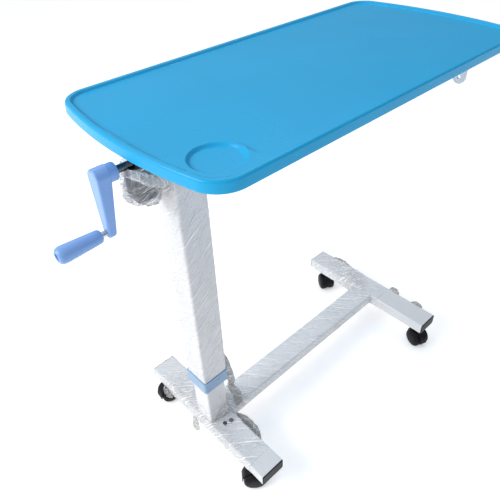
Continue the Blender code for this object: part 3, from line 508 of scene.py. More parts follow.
def noise_value(tree, vector, scale, detail=3.0, roughness=0.5):
    settings = {"Vector": vector, "Scale": scale, "Detail": detail, "Roughness": roughness}
    return add_node(tree, "ShaderNodeTexNoise", settings).outputs["Fac"]


def remap(tree, value, low, high, to_low=0.0, to_high=1.0):
    settings = {"Value": value, "From Min": low, "From Max": high, "To Min": to_low, "To Max": to_high}
    return add_node(tree, "ShaderNodeMapRange", settings, clamp=True).outputs["Result"]


def blend(tree, factor, first, second):
    """A mix of two colours."""
    made = add_node(tree, "ShaderNodeMix", data_type="RGBA")
    for key, value in (("Factor", factor), ("A", first), ("B", second)):
        value = (*value, 1.0) if isinstance(value, tuple) else value
        feed(tree, next(s for s in made.inputs if s.name == key and s.enabled), value)
    return next(s for s in made.outputs if s.enabled)


def calculate(tree, operation, first, second, clamp=False):
    made = add_node(tree, "ShaderNodeMath", {0: first, 1: second}, operation=operation, use_clamp=clamp)
    return made.outputs[0]


def surface(tree, shader, base, roughness, height, strength, depth):
    """Connects a material's colour, its roughness and the height of its grain."""
    feed(tree, shader.inputs["Base Color"], base)
    feed(tree, shader.inputs["Roughness"], roughness)
    made = add_node(tree, "ShaderNodeBump", {"Height": height, "Strength": strength, "Distance": depth})
    feed(tree, shader.inputs["Normal"], made.outputs["Normal"])


def make_plastic(name, main, worn, gloss, grain, grain_depth, specular=0.5, scuff=0.35):
    """Moulded plastic: a slight change of tone, faint scuffs and a fine grain."""
    tree, shader = new_material(name, specular_ior_level=specular)
    tone = noise_value(tree, place(tree), 6.0)
    streaks = noise_value(tree, place(tree, (9.0, 160.0, 90.0), (0.0, 0.0, 0.5)), 3.0, 4.0, 0.6)
    marks = remap(tree, streaks, 0.62, 0.78, 0.0, scuff)
    deeper = tuple(channel * 0.95 for channel in main)
    toned = blend(tree, remap(tree, tone, 0.35, 0.65), main, deeper)
    dulled = calculate(tree, "MULTIPLY", marks, 0.3)
    roughness = calculate(tree, "ADD", remap(tree, tone, 0.3, 0.7, *gloss), dulled)
    fine = noise_value(tree, place(tree), grain, 2.0, 0.6)
    surface(tree, shader, blend(tree, marks, toned, worn), roughness, fine, 0.35, grain_depth)


def make_paint():
    """White powder coat: an orange-peel skin, with a slightly cool tone and faint handling marks."""
    tree, shader = new_material("white_paint", coat_weight=0.25, coat_roughness=0.12)
    tone = remap(tree, noise_value(tree, place(tree), 9.0), 0.35, 0.65)
    base = blend(tree, tone, (0.70, 0.708, 0.72), (0.66, 0.67, 0.685))
    streaks = noise_value(tree, place(tree, (40.0, 200.0, 14.0), (0.3, 0.2, 0.4)), 2.0, 5.0, 0.65)
    rubbed = blend(tree, remap(tree, streaks, 0.60, 0.80, 0.0, 0.3), base, (0.56, 0.57, 0.58))
    peel = noise_value(tree, place(tree), 650.0, 2.0, 0.5)
    surface(tree, shader, rubbed, remap(tree, tone, 0.0, 1.0, 0.26, 0.36), peel, 0.25, 0.00012)


def make_metal(name, main, gloss, stretch):
    """Machined or plated metal: fine turning lines and dull patches."""
    tree, shader = new_material(name, metallic=1.0)
    lines = noise_value(tree, place(tree, stretch), 4.0, 4.0, 0.6)
    dull = remap(tree, noise_value(tree, place(tree), 120.0, 3.0, 0.5), 0.45, 0.75, 0.0, 0.5)
    base = blend(tree, dull, main, tuple(channel * 0.6 for channel in main))
    surface(tree, shader, base, remap(tree, lines, 0.3, 0.7, *gloss), lines, 0.2, 0.00006)


def make_casting():
    """Dark grey casting with a sandy skin."""
    tree, shader = new_material("grey_casting", metallic=0.25)
    grain = noise_value(tree, place(tree), 420.0, 3.0, 0.6)
    patches = remap(tree, noise_value(tree, place(tree), 60.0), 0.4, 0.65)
    base = blend(tree, patches, (0.045, 0.043, 0.046), (0.085, 0.082, 0.086))
    surface(tree, shader, base, remap(tree, grain, 0.3, 0.7, 0.45, 0.62), grain, 0.5, 0.0004)


def make_rubber():
    """Black tread and hubs, with dust in the grain."""
    tree, shader = new_material("wheel_rubber", specular_ior_level=0.12)
    dust = remap(tree, noise_value(tree, place(tree), 140.0, 4.0, 0.65), 0.52, 0.75, 0.0, 0.35)
    base = blend(tree, dust, (0.006, 0.006, 0.009), (0.035, 0.035, 0.038))
    grain = noise_value(tree, place(tree), 900.0, 2.0, 0.5)
    surface(tree, shader, base, remap(tree, dust, 0.0, 0.35, 0.38, 0.62), grain, 0.3, 0.0002)


def wrap_lines(tree, lean, stretch, low, high, strength=1.0):
    """Lines drawn out along one direction of the unrolled film."""
    wrap = add_node(tree, "ShaderNodeUVMap", uv_map="wrap").outputs["UV"]
    turn = {"Vector": wrap, "Angle": lean}
    leaning = add_node(tree, "ShaderNodeVectorRotate", turn, rotation_type="Z_AXIS").outputs["Vector"]
    stretched = add_node(tree, "ShaderNodeMapping", {"Vector": leaning, "Scale": stretch}).outputs["Vector"]
    return remap(tree, noise_value(tree, stretched, 1.0, 2.0, 0.5), low, high, 0.0, strength)


def creases(tree, scale, bend, width):
    """Thin bright lines between flat facets, as in crumpled film; the film paints them as highlights."""
    where = add_node(tree, "ShaderNodeTexCoord").outputs["Object"]
    settings = {"Vector": where, "Scale": scale * 0.7, "Detail": 2.0}
    sway = add_node(tree, "ShaderNodeTexNoise", settings).outputs["Color"]
    shift = add_node(tree, "ShaderNodeVectorMath", {0: sway, 1: (bend, bend, bend)}, operation="MULTIPLY")
    bent = add_node(tree, "ShaderNodeVectorMath", {0: where, 1: shift.outputs[0]}, operation="ADD").outputs[0]
    settings = {"Vector": bent, "Scale": scale}
    cells = add_node(tree, "ShaderNodeTexVoronoi", settings, feature="DISTANCE_TO_EDGE")
    return remap(tree, cells.outputs["Distance"], 0.0, width, 1.0, 0.0)


def film_cracks(tree, loose):
    """The crumple lines of film where it is loose, painted by the film as bright highlights."""
    fade = remap(tree, noise_value(tree, place(tree), 55.0, 2.0), 0.42, 0.62)
    coarse = calculate(tree, "MULTIPLY", creases(tree, 52.0, 0.030, 0.050), fade)
    fine = calculate(tree, "MULTIPLY", creases(tree, 130.0, 0.012, 0.080), 0.35)
    return calculate(tree, "MULTIPLY", calculate(tree, "MAXIMUM", coarse, fine), loose)


def make_film(name, body, tone, line_cover):
    """Clear film: nearly invisible where it lies flat, with bright folds and creases where it is loose. The
    bright folds, creases and long lines are painted highlights, the dark fold lines are painted shade, and
    the gathered film's dark loose colour is painted shade.
    """
    tree, shader = new_material(name, specular_ior_level=0.55)
    fold = add_node(tree, "ShaderNodeAttribute", attribute_name="fold").outputs["Fac"]
    haze = add_node(tree, "ShaderNodeAttribute", attribute_name="haze").outputs["Fac"]
    # Painted highlights: long and short glint streaks along the wrapped film.
    long_glints = wrap_lines(tree, -0.9, (9.0, 300.0, 1.0), 0.590, 0.640)
    short_glints = wrap_lines(tree, -1.25, (24.0, 420.0, 1.0), 0.610, 0.660, 0.8)
    # Painted shade: dark lines along the fold valleys.
    fold_shade_lines = wrap_lines(tree, -0.55, (12.0, 230.0, 1.0), 0.610, 0.665)
    loose = remap(tree, haze, 0.03, 0.16)
    # Painted highlights: bright crumple creases where the film is loose.
    crease_glints = film_cracks(tree, loose)
    # The marks are the painted highlight lines and creases together.
    lines = calculate(tree, "MULTIPLY", calculate(tree, "MAXIMUM", long_glints, short_glints), line_cover)
    marks = calculate(tree, "MAXIMUM", lines, crease_glints)
    # The veil makes the film's colour show on fold crests, as a faint painted highlight, and where the film
    # is loose.
    veil = calculate(tree, "ADD", calculate(tree, "MULTIPLY", fold, 0.08), haze)
    cover = calculate(tree, "ADD", calculate(tree, "MULTIPLY", marks, 0.85), veil, True)
    # The painted shade lines also make the film show.
    shaded = calculate(tree, "MAXIMUM", cover, calculate(tree, "MULTIPLY", fold_shade_lines, 0.13))
    feed(tree, shader.inputs["Alpha"], calculate(tree, "ADD", shaded, 0.03, True))
    # Where it is loose the film takes its loose colour; on the gathered film that dark colour is painted
    # shade.
    plain = blend(tree, loose, (0.90, 0.92, 0.95), body)
    # Painted shade: the fold valleys darken the film's colour towards grey.
    fold_shaded = blend(tree, calculate(tree, "MULTIPLY", fold_shade_lines, 0.6), plain, (0.42, 0.42, 0.43))
    # The marks take the crease colour, a painted highlight.
    base = blend(tree, marks, fold_shaded, tone)
    surface(tree, shader, base, 0.16, calculate(tree, "ADD", crease_glints, fold), 0.3, 0.0004)


def make_materials():
    for settings in PLASTICS:
        make_plastic(*settings)
    for settings in METALS:
        make_metal(*settings)
    for settings in FILMS:
        make_film(*settings)
    make_paint()
    make_casting()
    make_rubber()


def paint_nodes():
    """Every solid that still shows gets the material of its own slot; the shaft's steel is darker."""
    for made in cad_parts.values():
        for slot in made.material_slots:
            slot.material = MATERIALS[slot.material.name.split(".")[0]]
    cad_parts["crank_shaft"].material_slots[0].material = MATERIALS["dark_steel"]


# Tray


def bend(centre, radius, start, end, steps):
    """Outline points along an arc, without its end, each with the direction that points inwards."""
    ways = [Vector(way) for way in arc(0.0, 0.0, 1.0, start, end, steps)[:-1]]
    return [(Vector(centre) + way * radius, -way) for way in ways]


def side(places, way):
    """Outline points along a straight side: way is -1 on the near one and 1 on the far one."""
    return [(Vector((x, way * HALF_WIDTH)), Vector((0.0, -way))) for x in places]


def tray_stations():
    """Points round the tray's outline, closer together by the raised corner."""
    fine = np.arange(-CORNER_X + FINE_SPACING, FINE_SIDE_END, FINE_SPACING)
    coarse = np.arange(COARSE_SIDE_START, CORNER_X, COARSE_SPACING)
    back = np.arange(CORNER_X - COARSE_SPACING, -CORNER_X, -COARSE_SPACING)
    return (
        bend((-END_X, 0.0), END_RADIUS, math.pi - END_TURN, math.pi + END_TURN, 110)
        + bend((-CORNER_X, -CORNER_Y), TRAY_CORNER, math.pi + END_TURN, 3 * QUARTER, 40)
        + side([-CORNER_X, *fine, *coarse], -1.0)
        + bend((CORNER_X, -CORNER_Y), TRAY_CORNER, -QUARTER, -END_TURN, 24)
        + bend((END_X, 0.0), END_RADIUS, -END_TURN, END_TURN, 60)
        + bend((CORNER_X, CORNER_Y), TRAY_CORNER, END_TURN, QUARTER, 24)[:-1]
        + side([CORNER_X, *back], 1.0)
        + bend((-CORNER_X, CORNER_Y), TRAY_CORNER, QUARTER, math.pi - END_TURN, 24)
    )


def inset_of(points):
    """How far each point is inside the tray's outline."""
    x, y = np.abs(points[:, 0]), np.abs(points[:, 1])
    end = END_RADIUS - np.hypot(x - END_X, y)
    corner = TRAY_CORNER - np.hypot(x - CORNER_X, y - CORNER_Y)
    in_corner = (np.arctan2(y, x - END_X) > END_TURN) & (x > CORNER_X)
    return np.where(in_corner, corner, np.minimum(HALF_WIDTH - y, end))


def plateau_edge():
    """The free edge of the raised corner, from the near side round the cup to the end rim."""
    fillet_y = PLATEAU_SIDE_Y + PLATEAU_FILLET
    drop = fillet_y - CUP_CENTRE[1]
    run = math.sqrt((PLATEAU_RADIUS + PLATEAU_FILLET) ** 2 - drop**2)
    meet = math.atan2(drop, run)
    fillet_x = CUP_CENTRE[0] + run
    last = (PLATEAU_LINE_X, PLATEAU_LINE_Y + PLATEAU_SMALL_FILLET)
    arcs = (
        (fillet_x, fillet_y, PLATEAU_FILLET, -QUARTER, math.pi + meet - 2 * math.pi, 24),
        (*CUP_CENTRE, PLATEAU_RADIUS, meet, math.radians(PLATEAU_CUP_END), 60),
        (*last, PLATEAU_SMALL_FILLET, -QUARTER, -math.pi, 8),
    )
    edge = [(fillet_x + PLATEAU_LEAD, fillet_y - PLATEAU_FILLET)]
    for settings in arcs:
        edge += arc(*settings)
    edge.append((last[0] - PLATEAU_SMALL_FILLET, last[1] + PLATEAU_LEAD))
    return resample(edge, PLATEAU_SPACING)


def resample(points, spacing):
    """Points at even distances along a line."""
    line = np.array(points, float)
    steps = np.hypot(*np.diff(line, axis=0).T)
    along = np.concatenate([[0.0], np.cumsum(steps)])
    wanted = np.linspace(0.0, along[-1], max(2, int(along[-1] / spacing) + 1))
    return np.stack([np.interp(wanted, along, line[:, axis]) for axis in range(2)], axis=1)


PLATEAU_EDGE = plateau_edge()


def outside_plateau(points):
    """How far each point is outside the raised corner's free edge; negative on the raised corner."""
    parts = range(0, len(points), POINTS_AT_ONCE)
    return np.concatenate([distance_from_plateau(points[first : first + POINTS_AT_ONCE]) for first in parts])


def distance_from_plateau(points):
    starts = PLATEAU_EDGE[:-1]
    lines = PLATEAU_EDGE[1:] - starts
    apart = points[:, None, :] - starts[None]
    share = np.clip((apart * lines).sum(2) / (lines**2).sum(1), 0.0, 1.0)
    gaps = apart - share[..., None] * lines
    distances = np.hypot(gaps[..., 0], gaps[..., 1])
    nearest = distances.argmin(1)
    rows = np.arange(len(points))
    way, gap = lines[nearest], apart[rows, nearest]
    left = way[:, 0] * gap[:, 1] - way[:, 1] * gap[:, 0] > 0
    return np.where(left, -1.0, 1.0) * distances[rows, nearest]


def tray_height(points):
    """The height of the tray's upper face above its rim, at points in the tray frame."""
    inset = inset_of(points)
    rim = -WELL_DEPTH * smooth_step((inset - RIM_SLOPE_START) / (RIM_SLOPE_END - RIM_SLOPE_START))
    outside = outside_plateau(points)
    slope = smooth_step((outside - PLATEAU_SLOPE_START) / (PLATEAU_SLOPE_END - PLATEAU_SLOPE_START))
    plateau = -PLATEAU_BELOW - (WELL_DEPTH - PLATEAU_BELOW) * slope
    near = np.clip(JOIN_SOFTNESS - np.abs(rim - plateau), 0.0, None) / JOIN_SOFTNESS
    softened = near**2 * JOIN_SOFTNESS * 0.25 * smooth_step((inset - JOIN_START) / JOIN_RUN) * slope
    radius = np.hypot(points[:, 0] - CUP_CENTRE[0], points[:, 1] - CUP_CENTRE[1])
    recess = 1.0 - smooth_step((radius - CUP_WALL_START) / (CUP_WALL_END - CUP_WALL_START))
    joined = np.maximum(rim, plateau) + softened
    return np.maximum(joined - (WELL_DEPTH - PLATEAU_BELOW) * recess, -WELL_DEPTH)


def tray_face_points(stations):
    """Points over the tray's upper face, close together wherever it bends; its border comes first."""
    wanted = [tuple(point + inward * RIM_TOP_INSET) for point, inward in stations]
    wanted.append(CUP_CENTRE)
    for radius in CUP_RINGS:
        for angle in angles_round(CUP_STEPS):
            wanted.append(tuple(Vector(CUP_CENTRE) + radius * Vector((math.cos(angle), math.sin(angle)))))
    along = np.gradient(PLATEAU_EDGE, axis=0)
    along /= np.hypot(along[:, 0], along[:, 1])[:, None]
    away = np.stack([along[:, 1], -along[:, 0]], axis=1)
    for offset in PLATEAU_OFFSETS:
        wanted += [tuple(p) for p in PLATEAU_EDGE + away * offset]
    for inset in FACE_INSETS:
        wanted += [tuple(point + inward * inset) for point, inward in stations]
    wanted += [(x, y) for x in GRID_X for y in GRID_Y]
    return thin_out(wanted, len(stations))


def cell_of(point):
    return int(point[0] // POINT_GAP), int(point[1] // POINT_GAP)


def thin_out(wanted, border):
    """Drops points outside the border loop and points almost on top of earlier ones."""
    inside = inset_of(np.array(wanted)) > RIM_TOP_INSET + BORDER_GAP
    kept, cells = list(wanted[:border]), {}
    for point in kept:
        cells.setdefault(cell_of(point), []).append(point)
    for point, is_inside in zip(wanted[border:], inside[border:]):
        if not is_inside:
            continue
        column, row = cell_of(point)
        near = [
            other
            for i in (column - 1, column, column + 1)
            for j in (row - 1, row, row + 1)
            for other in cells.get((i, j), ())
        ]
        if all(math.dist(point, other) > POINT_GAP for other in near):
            kept.append(point)
            cells.setdefault((column, row), []).append(point)
    return kept


def tray_edge_section():
    """The tray's section from the rim's top round the skirt to the underside, as (inset, below top)."""
    section = [(RIM_TOP_INSET, 0.0)]
    for step in range(1, RIM_ROUND_STEPS + 1):
        angle = QUARTER * step / RIM_ROUND_STEPS
        inset = RIM_TOP_INSET - (RIM_TOP_INSET - RIM_FLAT) * math.sin(angle)
        section.append((inset, RIM_ROUND_DOWN * (1 - math.cos(angle))))
    return [*section, *SKIRT_OUTSIDE, *SKIRT_INSIDE, *SLAB_EDGE]


def face_normals(points):
    """The directions square to the tray's upper face."""
    dx, dy = np.array((NORMAL_STEP, 0.0)), np.array((0.0, NORMAL_STEP))
    slope_x = (tray_height(points + dx) - tray_height(points - dx)) / (2 * NORMAL_STEP)
    slope_y = (tray_height(points + dy) - tray_height(points - dy)) / (2 * NORMAL_STEP)
    return [Vector((-a, -b, 1.0)).normalized() for a, b in zip(slope_x, slope_y)]


def skirt_rows(stations):
    """The loops of points below the rim's top edge, and the directions square to the skirt there."""
    section = tray_edge_section()
    points, normals = [], []
    for index in range(1, len(section)):
        (before, above), (inset, below) = section[index - 1], section[index]
        after, under = section[min(index + 1, len(section) - 1)]
        run, fall = after - before, under - above
        length = math.hypot(run, fall)
        for point, inward in stations:
            spot = point + inward * inset
            points.append(at(spot.x, spot.y, TRAY_TOP - below))
            normals.append(Vector((-inward.x * fall, -inward.y * fall, -run)) / length)
    flat = 2 * len(stations)
    normals[-flat:] = [-UP] * flat
    return points, normals


def make_tray():
    stations = tray_stations()
    count = len(stations)
    wanted = [Vector(p) for p in tray_face_points(stations)]
    border = [(i, (i + 1) % count) for i in range(count)]
    flat, _, faces, _, _, _ = geometry.delaunay_2d_cdt(wanted, border, [], 1, 1e-7)
    flat_points = np.array([tuple(p) for p in flat])
    heights = tray_height(flat_points)
    heights[:count] = 0.0
    normals = face_normals(flat_points)
    normals[:count] = [UP] * count
    points = [at(x, y, TRAY_TOP + z) for (x, y), z in zip(flat_points, heights)]
    skirt, skirt_normals = skirt_rows(stations)
    starts = [0] + [len(flat) + first for first in range(0, len(skirt), count)]
    faces = [tuple(face) for face in faces]
    faces += [
        (high + i, low + i, low + (i + 1) % count, high + (i + 1) % count)
        for high, low in zip(starts, starts[1:])
        for i in range(count)
    ]
    faces.append(tuple(reversed(range(starts[-1], starts[-1] + count))))
    tray = make_object("tray", points + skirt, faces)
    tray.data.normals_split_custom_set_from_vertices([tuple(n) for n in normals + skirt_normals])
    finish_piece(tray, "lifting_top", "tray_blue", "table_top")


# Crank


def arm_outline():
    """The crank arm's outline round its hub and its end, as (across, up) from the shaft."""
    lean = math.asin((HUB_RADIUS - ARM_END_RADIUS) / CRANK_THROW)
    hub = arc(0.0, 0.0, HUB_RADIUS, -lean, math.pi + lean, 40)
    return hub + arc(0.0, -CRANK_THROW, ARM_END_RADIUS, math.pi + lean, 2 * math.pi - lean, 28)


def make_crank_arm(low, axis_y, axis_z):
    """The arm, deeper at its hub than at its end."""
    bottom = -CRANK_THROW - ARM_END_RADIUS
    slope = (HUB_DEPTH - ARM_END_DEPTH) / (HUB_RADIUS - bottom)
    outline = arm_outline()
    outer = [Vector((low.x, axis_y + y, axis_z + z)) for y, z in outline]
    depths = [ARM_END_DEPTH + slope * (z - bottom) for _, z in outline]
    inner = [point + ALONG_TRAY * depth for point, depth in zip(outer, depths)]
    arm = lofted("crank_arm_body", outer + inner, len(outline))
    bevel(arm, ARM_EDGE, 5, 50.0)
    finish_piece(arm, "crank", "crank_blue", "crank_arm")


def make_crank():
    low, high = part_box("crank_arm")
    shaft_low, shaft_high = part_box("crank_shaft")
    axis_y, axis_z = (shaft_low.y + shaft_high.y) / 2, (shaft_low.z + shaft_high.z) / 2
    make_crank_arm(low, axis_y, axis_z)
    start = low.x + HUB_DEPTH - BOSS_OVERLAP
    profile = [(start, radius) for radius in BOSS_START_RADII]
    profile += [(high.x - inwards, radius) for inwards, radius in BOSS_RIM]
    profile += [(start, BOSS_BORE), (start, BOSS_START_RADII[0])]
    boss = turned("crank_boss", profile, (0.0, axis_y, axis_z), ALONG_TRAY)
    finish_piece(boss, "crank", "crank_blue")


def make_grip():
    low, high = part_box("crank_grip")
    centre = (0.0, (low.y + high.y) / 2, (low.z + high.z) / 2)
    near = [(high.x - inwards, radius) for inwards, radius in (GRIP_BORE, *GRIP_NEAR_END)]
    far = [(low.x + inwards, radius) for inwards, radius in GRIP_FAR_END]
    grip = turned("grip_body", [*near, *far, near[0]], centre, ALONG_TRAY, 72)
    finish_piece(grip, "grip", "crank_blue", "crank_grip")


# Casters


def make_wheel(name, body, node, centre, axle):
    """A wheel with a rounded tread, a sunk ring and a domed hub."""
    profile = [(WHEEL_INNER + along, radius) for along, radius in WHEEL_INNER_SIDE]
    profile += [(WHEEL_OUTER - along, radius) for along, radius in WHEEL_OUTER_SIDE]
    wheel = turned(name, [*profile, profile[0]], centre, axle, 72)
    finish_piece(wheel, body, "wheel_rubber", node)


def hood_ways(back, start, sweep, steps):
    """Directions round the axle, from the back over the top, by angles in degrees."""
    turns = arc(0.0, 0.0, 1.0, math.radians(start), math.radians(start + sweep), steps)
    return [back * along + UP * above for along, above in turns]


def make_hood_shell(caster, centre, axle, back):
    """The curved cover over both wheels, with rolled side edges."""
    points = []
    for away in hood_ways(back, *HOOD_ARC):
        points += [centre + axle * shift + away * (HOOD_OUTSIDE - drop) for shift, drop in HOOD_EDGE]
        points += [centre + axle * shift + away * HOOD_INSIDE for shift, _ in reversed(HOOD_EDGE)]
    return lofted(f"{caster}_hood_shell", points, 2 * len(HOOD_EDGE))


def make_hood_web(caster, centre, axle, back):
    """The plate between the wheels that joins the cover to the axle."""
    outline = [way * radius for radius, *turn in WEB_ARCS for way in hood_ways(back, *turn)]
    points = [centre + point + axle * shift for shift in (-WEB_HALF, WEB_HALF) for point in outline]
    return lofted(f"{caster}_hood_web", points, len(outline))


def make_hood(caster, centre, axle, back):
    body = f"{caster}_swivel"
    shell = make_hood_shell(caster, centre, axle, back)
    sharpen(shell, 50.0)
    finish_piece(shell, body, "black_plastic", f"caster_{caster}_hood")
    web = make_hood_web(caster, centre, axle, back)
    sharpen(web, 40.0)
    finish_piece(web, body, "black_plastic")
    stem = centre - back * CASTER_TRAIL
    boss = turned(f"{caster}_hood_boss", HOOD_BOSS, (stem.x, stem.y, 0.0), UP, 40)
    finish_piece(boss, body, "black_plastic")


def make_casters():
    for caster in ("near_left", "near_right", "far_left", "far_right"):
        node = f"caster_{caster}"
        first, second = [sum(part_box(f"{node}_wheel_{letter}"), Vector()) / 2 for letter in "ab"]
        stem = sum(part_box(f"{node}_stem"), Vector()) / 2
        centre, axle = (first + second) / 2, (second - first).normalized()
        back = Vector((centre.x - stem.x, centre.y - stem.y, 0.0)).normalized()
        for letter, way in (("a", -1.0), ("b", 1.0)):
            name = f"{caster}_wheel_{letter}"
            make_wheel(f"{name}_tread", name, f"{node}_wheel_{letter}", centre, axle * way)
        make_hood(caster, centre, axle, back)


# Screws


def make_bolts():
    for number in (1, 2):
        low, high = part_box(f"base_bolt_{number}")
        centre = ((low.x + high.x) / 2, (low.y + high.y) / 2, 0.0)
        seat = high.z - BOLT_HEAD_DEPTH
        profile = [(seat + height, radius) for height, radius in WASHER]
        washer = turned(f"base_washer_{number}", profile, centre, UP, 40)
        finish_piece(washer, "base", "bright_steel")
        head_levels = [(seat + height, scale) for height, scale in BOLT_HEAD_LEVELS]
        levels = [(low.z, SHANK_SCALE), *head_levels, (high.z, BOLT_TOP_SCALE)]
        points = [point for height, scale in levels for point in ring(BOLT_HEAD_RADIUS * scale, height, 6)]
        head = lofted(f"base_hex_{number}", [Vector(centre) + point for point in points], 6, smooth=False)
        finish_piece(head, "base", "bright_steel", f"base_bolt_{number}", "dark_steel")


def pan_head_points():
    """A pan head's points about +Z: its middle, rings over its crown with a cross recess, then its shank."""
    points = [Vector((0.0, 0.0, PAN_CENTRE))]
    for count in range(1, PAN_RINGS + 1):
        radius = PAN_RADIUS * count / PAN_RINGS
        for point in ring(radius, -PAN_CROWN * (radius / PAN_RADIUS) ** 4, PAN_STEPS):
            if min(abs(point.x), abs(point.y)) < CROSS_HALF and radius < CROSS_REACH:
                point.z -= CROSS_DEPTH
            points.append(point)
    for along, radius in PAN_SHANK:
        points += ring(radius, along, PAN_STEPS)
    return points


def make_collar_screw():
    """A pan head with a cross recess."""
    low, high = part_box("collar_screw")
    centre = Vector(((low.x + high.x) / 2, low.y, (low.z + high.z) / 2))
    turn = axis_frame(TOWARDS_SCREW)
    points = [centre + turn @ point for point in pan_head_points()]
    faces = [(0, 1 + i, 1 + (i + 1) % PAN_STEPS) for i in range(PAN_STEPS)]
    faces += strip_faces(PAN_RINGS + len(PAN_SHANK), PAN_STEPS, 1)
    faces.append(tuple(range(len(points) - PAN_STEPS, len(points))))
    screw = make_object("collar_screw_head", points, faces)
    face_outwards(screw)
    sharpen(screw, 40.0)
    finish_piece(screw, "lifting_top", "bright_steel", "collar_screw")


# Weld beads


def bead_line(path, closed):
    """Closely spaced points along a path."""
    line = []
    for start, end in zip(path, path[1:] + path[:1] if closed else path[1:]):
        steps = max(1, int((end - start).length / BEAD_SPACING))
        line += [start.lerp(end, i / steps) for i in range(steps)]
    return line if closed else line + [path[-1]]


def make_bead(name, body, path, radius, closed=False):
    """A rippled weld bead along a path."""
    line = bead_line(path, closed)
    points = []
    for index, spot in enumerate(line):
        before = line[index - 1] if index or closed else spot
        after = line[(index + 1) % len(line)] if index + 1 < len(line) or closed else spot
        along = (after - before).normalized()
        across = along.orthogonal().normalized()
        other = along.cross(across)
        size = radius * (1.0 + 0.16 * math.sin(index * BEAD_RIPPLE) + 0.10 * noise.noise(spot * 260.0))
        if not closed and index in (0, len(line) - 1):
            size *= 0.4
        for angle in angles_round(BEAD_SIDES):
            points.append(spot + (across * math.cos(angle) + other * math.sin(angle)) * size)
    bead = lofted(name, points, BEAD_SIDES, "joined" if closed else "capped")
    finish_piece(bead, body, "white_paint")


def square_path(low, high, z):
    corners = ((low.x, low.y), (high.x, low.y), (high.x, high.y), (low.x, high.y))
    return [Vector((x, y, z)) for x, y in corners]


def make_column_beads():
    low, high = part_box("inner_column")
    make_bead("bead_column_foot", "base", square_path(low, high, low.z + FOOT_WELD_RISE), COLUMN_BEAD, True)
    low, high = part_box("outer_column")
    head_path = square_path(low, high, high.z - WELD_DROP)
    make_bead("bead_column_head", "lifting_top", head_path, COLUMN_BEAD, True)


def make_crossbar_beads():
    low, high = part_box("crossbar")
    corners = ((low.y, low.z), (low.y, high.z), (high.y, high.z), (high.y, low.z))
    for name, x in (("near", low.x), ("far", high.x)):
        make_bead(f"bead_crossbar_{name}", "base", [Vector((x, y, z)) for y, z in corners], CROSSBAR_BEAD)


def make_frame_beads():
    for hand, way in (("left", 1.0), ("right", -1.0)):
        low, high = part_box(f"rail_{hand}")
        for name, x in (("near", low.x), ("far", high.x)):
            path = [Vector((x, low.y, low.z)), Vector((x, high.y, low.z))]
            make_bead(f"bead_rail_{hand}_{name}", "lifting_top", path, RAIL_BEAD)
        low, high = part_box(f"frame_ear_{hand}")
        inner_y = low.y if way > 0 else high.y
        path = [Vector((high.x, inner_y + way * reach, high.z - WELD_DROP)) for reach in EAR_WELD]
        make_bead(f"bead_ear_{hand}", "lifting_top", path, EAR_BEAD)


# Packing film


def ridge(value, sharpness=2.2):
    """1 along the lines where a noise crosses zero, falling to 0 beside them."""
    return max(0.0, 1.0 - abs(value) * sharpness)


def fold_at(u, v, seed, lean, spacing, length):
    """The height of a long fold, 0 to 1, on unrolled film. Folds lean by an angle from the film's length."""
    along = u * math.cos(lean) + v * math.sin(lean)
    across = v * math.cos(lean) - u * math.sin(lean)
    long_folds = ridge(noise.noise(Vector((along / length, across / spacing, seed))))
    fine_folds = ridge(noise.noise(Vector((along / length * 1.7, across / spacing * 2.3, seed + 9.0))), 2.8)
    patch = 0.5 + 0.9 * noise.noise(Vector((u * 9.0, v * 12.0, seed + 4.0)))
    return min(1.0, max(0.0, patch)) * (0.75 * long_folds**2 + 0.35 * fine_folds**2)


def crumple_at(point, seed, size):
    """The height of crumpled film, 0 to 1: creases at several sizes and in all directions."""
    spot = point / size + Vector((seed, -seed, seed * 0.5))
    return (
        0.55 * ridge(noise.noise(spot), 1.8)
        + 0.30 * ridge(noise.noise(spot * 2.1 + Vector((5.0, 1.0, 2.0))), 2.0)
        + 0.15 * ridge(noise.noise(spot * 4.3), 2.0)
    )


def section_points(half_u, half_v, corner, count):
    """Evenly spaced (place, outward direction, distance round) triples on a rounded rectangle."""
    dense = []
    for u, v, start in (
        (half_u - corner, half_v - corner, 0.0),
        (corner - half_u, half_v - corner, QUARTER),
        (corner - half_u, corner - half_v, 2 * QUARTER),
        (half_u - corner, corner - half_v, 3 * QUARTER),
    ):
        for a, b in arc(0.0, 0.0, 1.0, start, start + QUARTER, 12):
            dense.append((u + corner * a, v + corner * b, a, b))
    dense.append(dense[0])
    table = np.array(dense)
    along = np.concatenate([[0.0], np.cumsum(np.hypot(*np.diff(table[:, :2], axis=0).T))])
    wanted = np.arange(count) / count * along[-1]
    values = [np.interp(wanted, along, table[:, i]) for i in range(4)]
    return [((u, v), Vector((a, b)).normalized(), s) for u, v, a, b, s in zip(*values, wanted)]


def lay(axis, along, u, v):
    """A point of a section drawn square to an axis."""
    return {"x": Vector((along, u, v)), "y": Vector((u, along, v)), "z": Vector((u, v, along))}[axis]


def finish_film(made, body, marks, film="clear_film"):
    """Stores the (fold, haze, along, across) marks that the film's material reads, and makes it ride."""
    mesh = made.data
    for name, values in zip(("fold", "haze"), zip(*marks)):
        mesh.attributes.new(name, "FLOAT", "POINT").data.foreach_set("value", values)
    layer = mesh.uv_layers.new(name="wrap")
    for loop in mesh.loops:
        layer.data[loop.index].uv = marks[loop.vertex_index][2:]
    finish_piece(made, body, "grey_plastic", material=film)


def thicken(made):
    change = made.modifiers.new("thickness", "SOLIDIFY")
    change.thickness = FILM_THICKNESS
    change.offset = 1.0


def crumpled_spots(spots, spot, seed):
    """What the crumpled places near a point add to the film there: height, fold and haze."""
    height = fold = haze = 0.0
    for middle, reach, extra, extra_haze in spots:
        share = max(0.0, 1.0 - ((spot - middle).length / reach) ** 2)
        crumple = crumple_at(spot, seed, 0.016)
        height += share * extra * (0.25 + crumple)
        fold += share * crumple * 0.8
        haze += share * extra_haze * (0.4 + crumple)
    return height, fold, haze


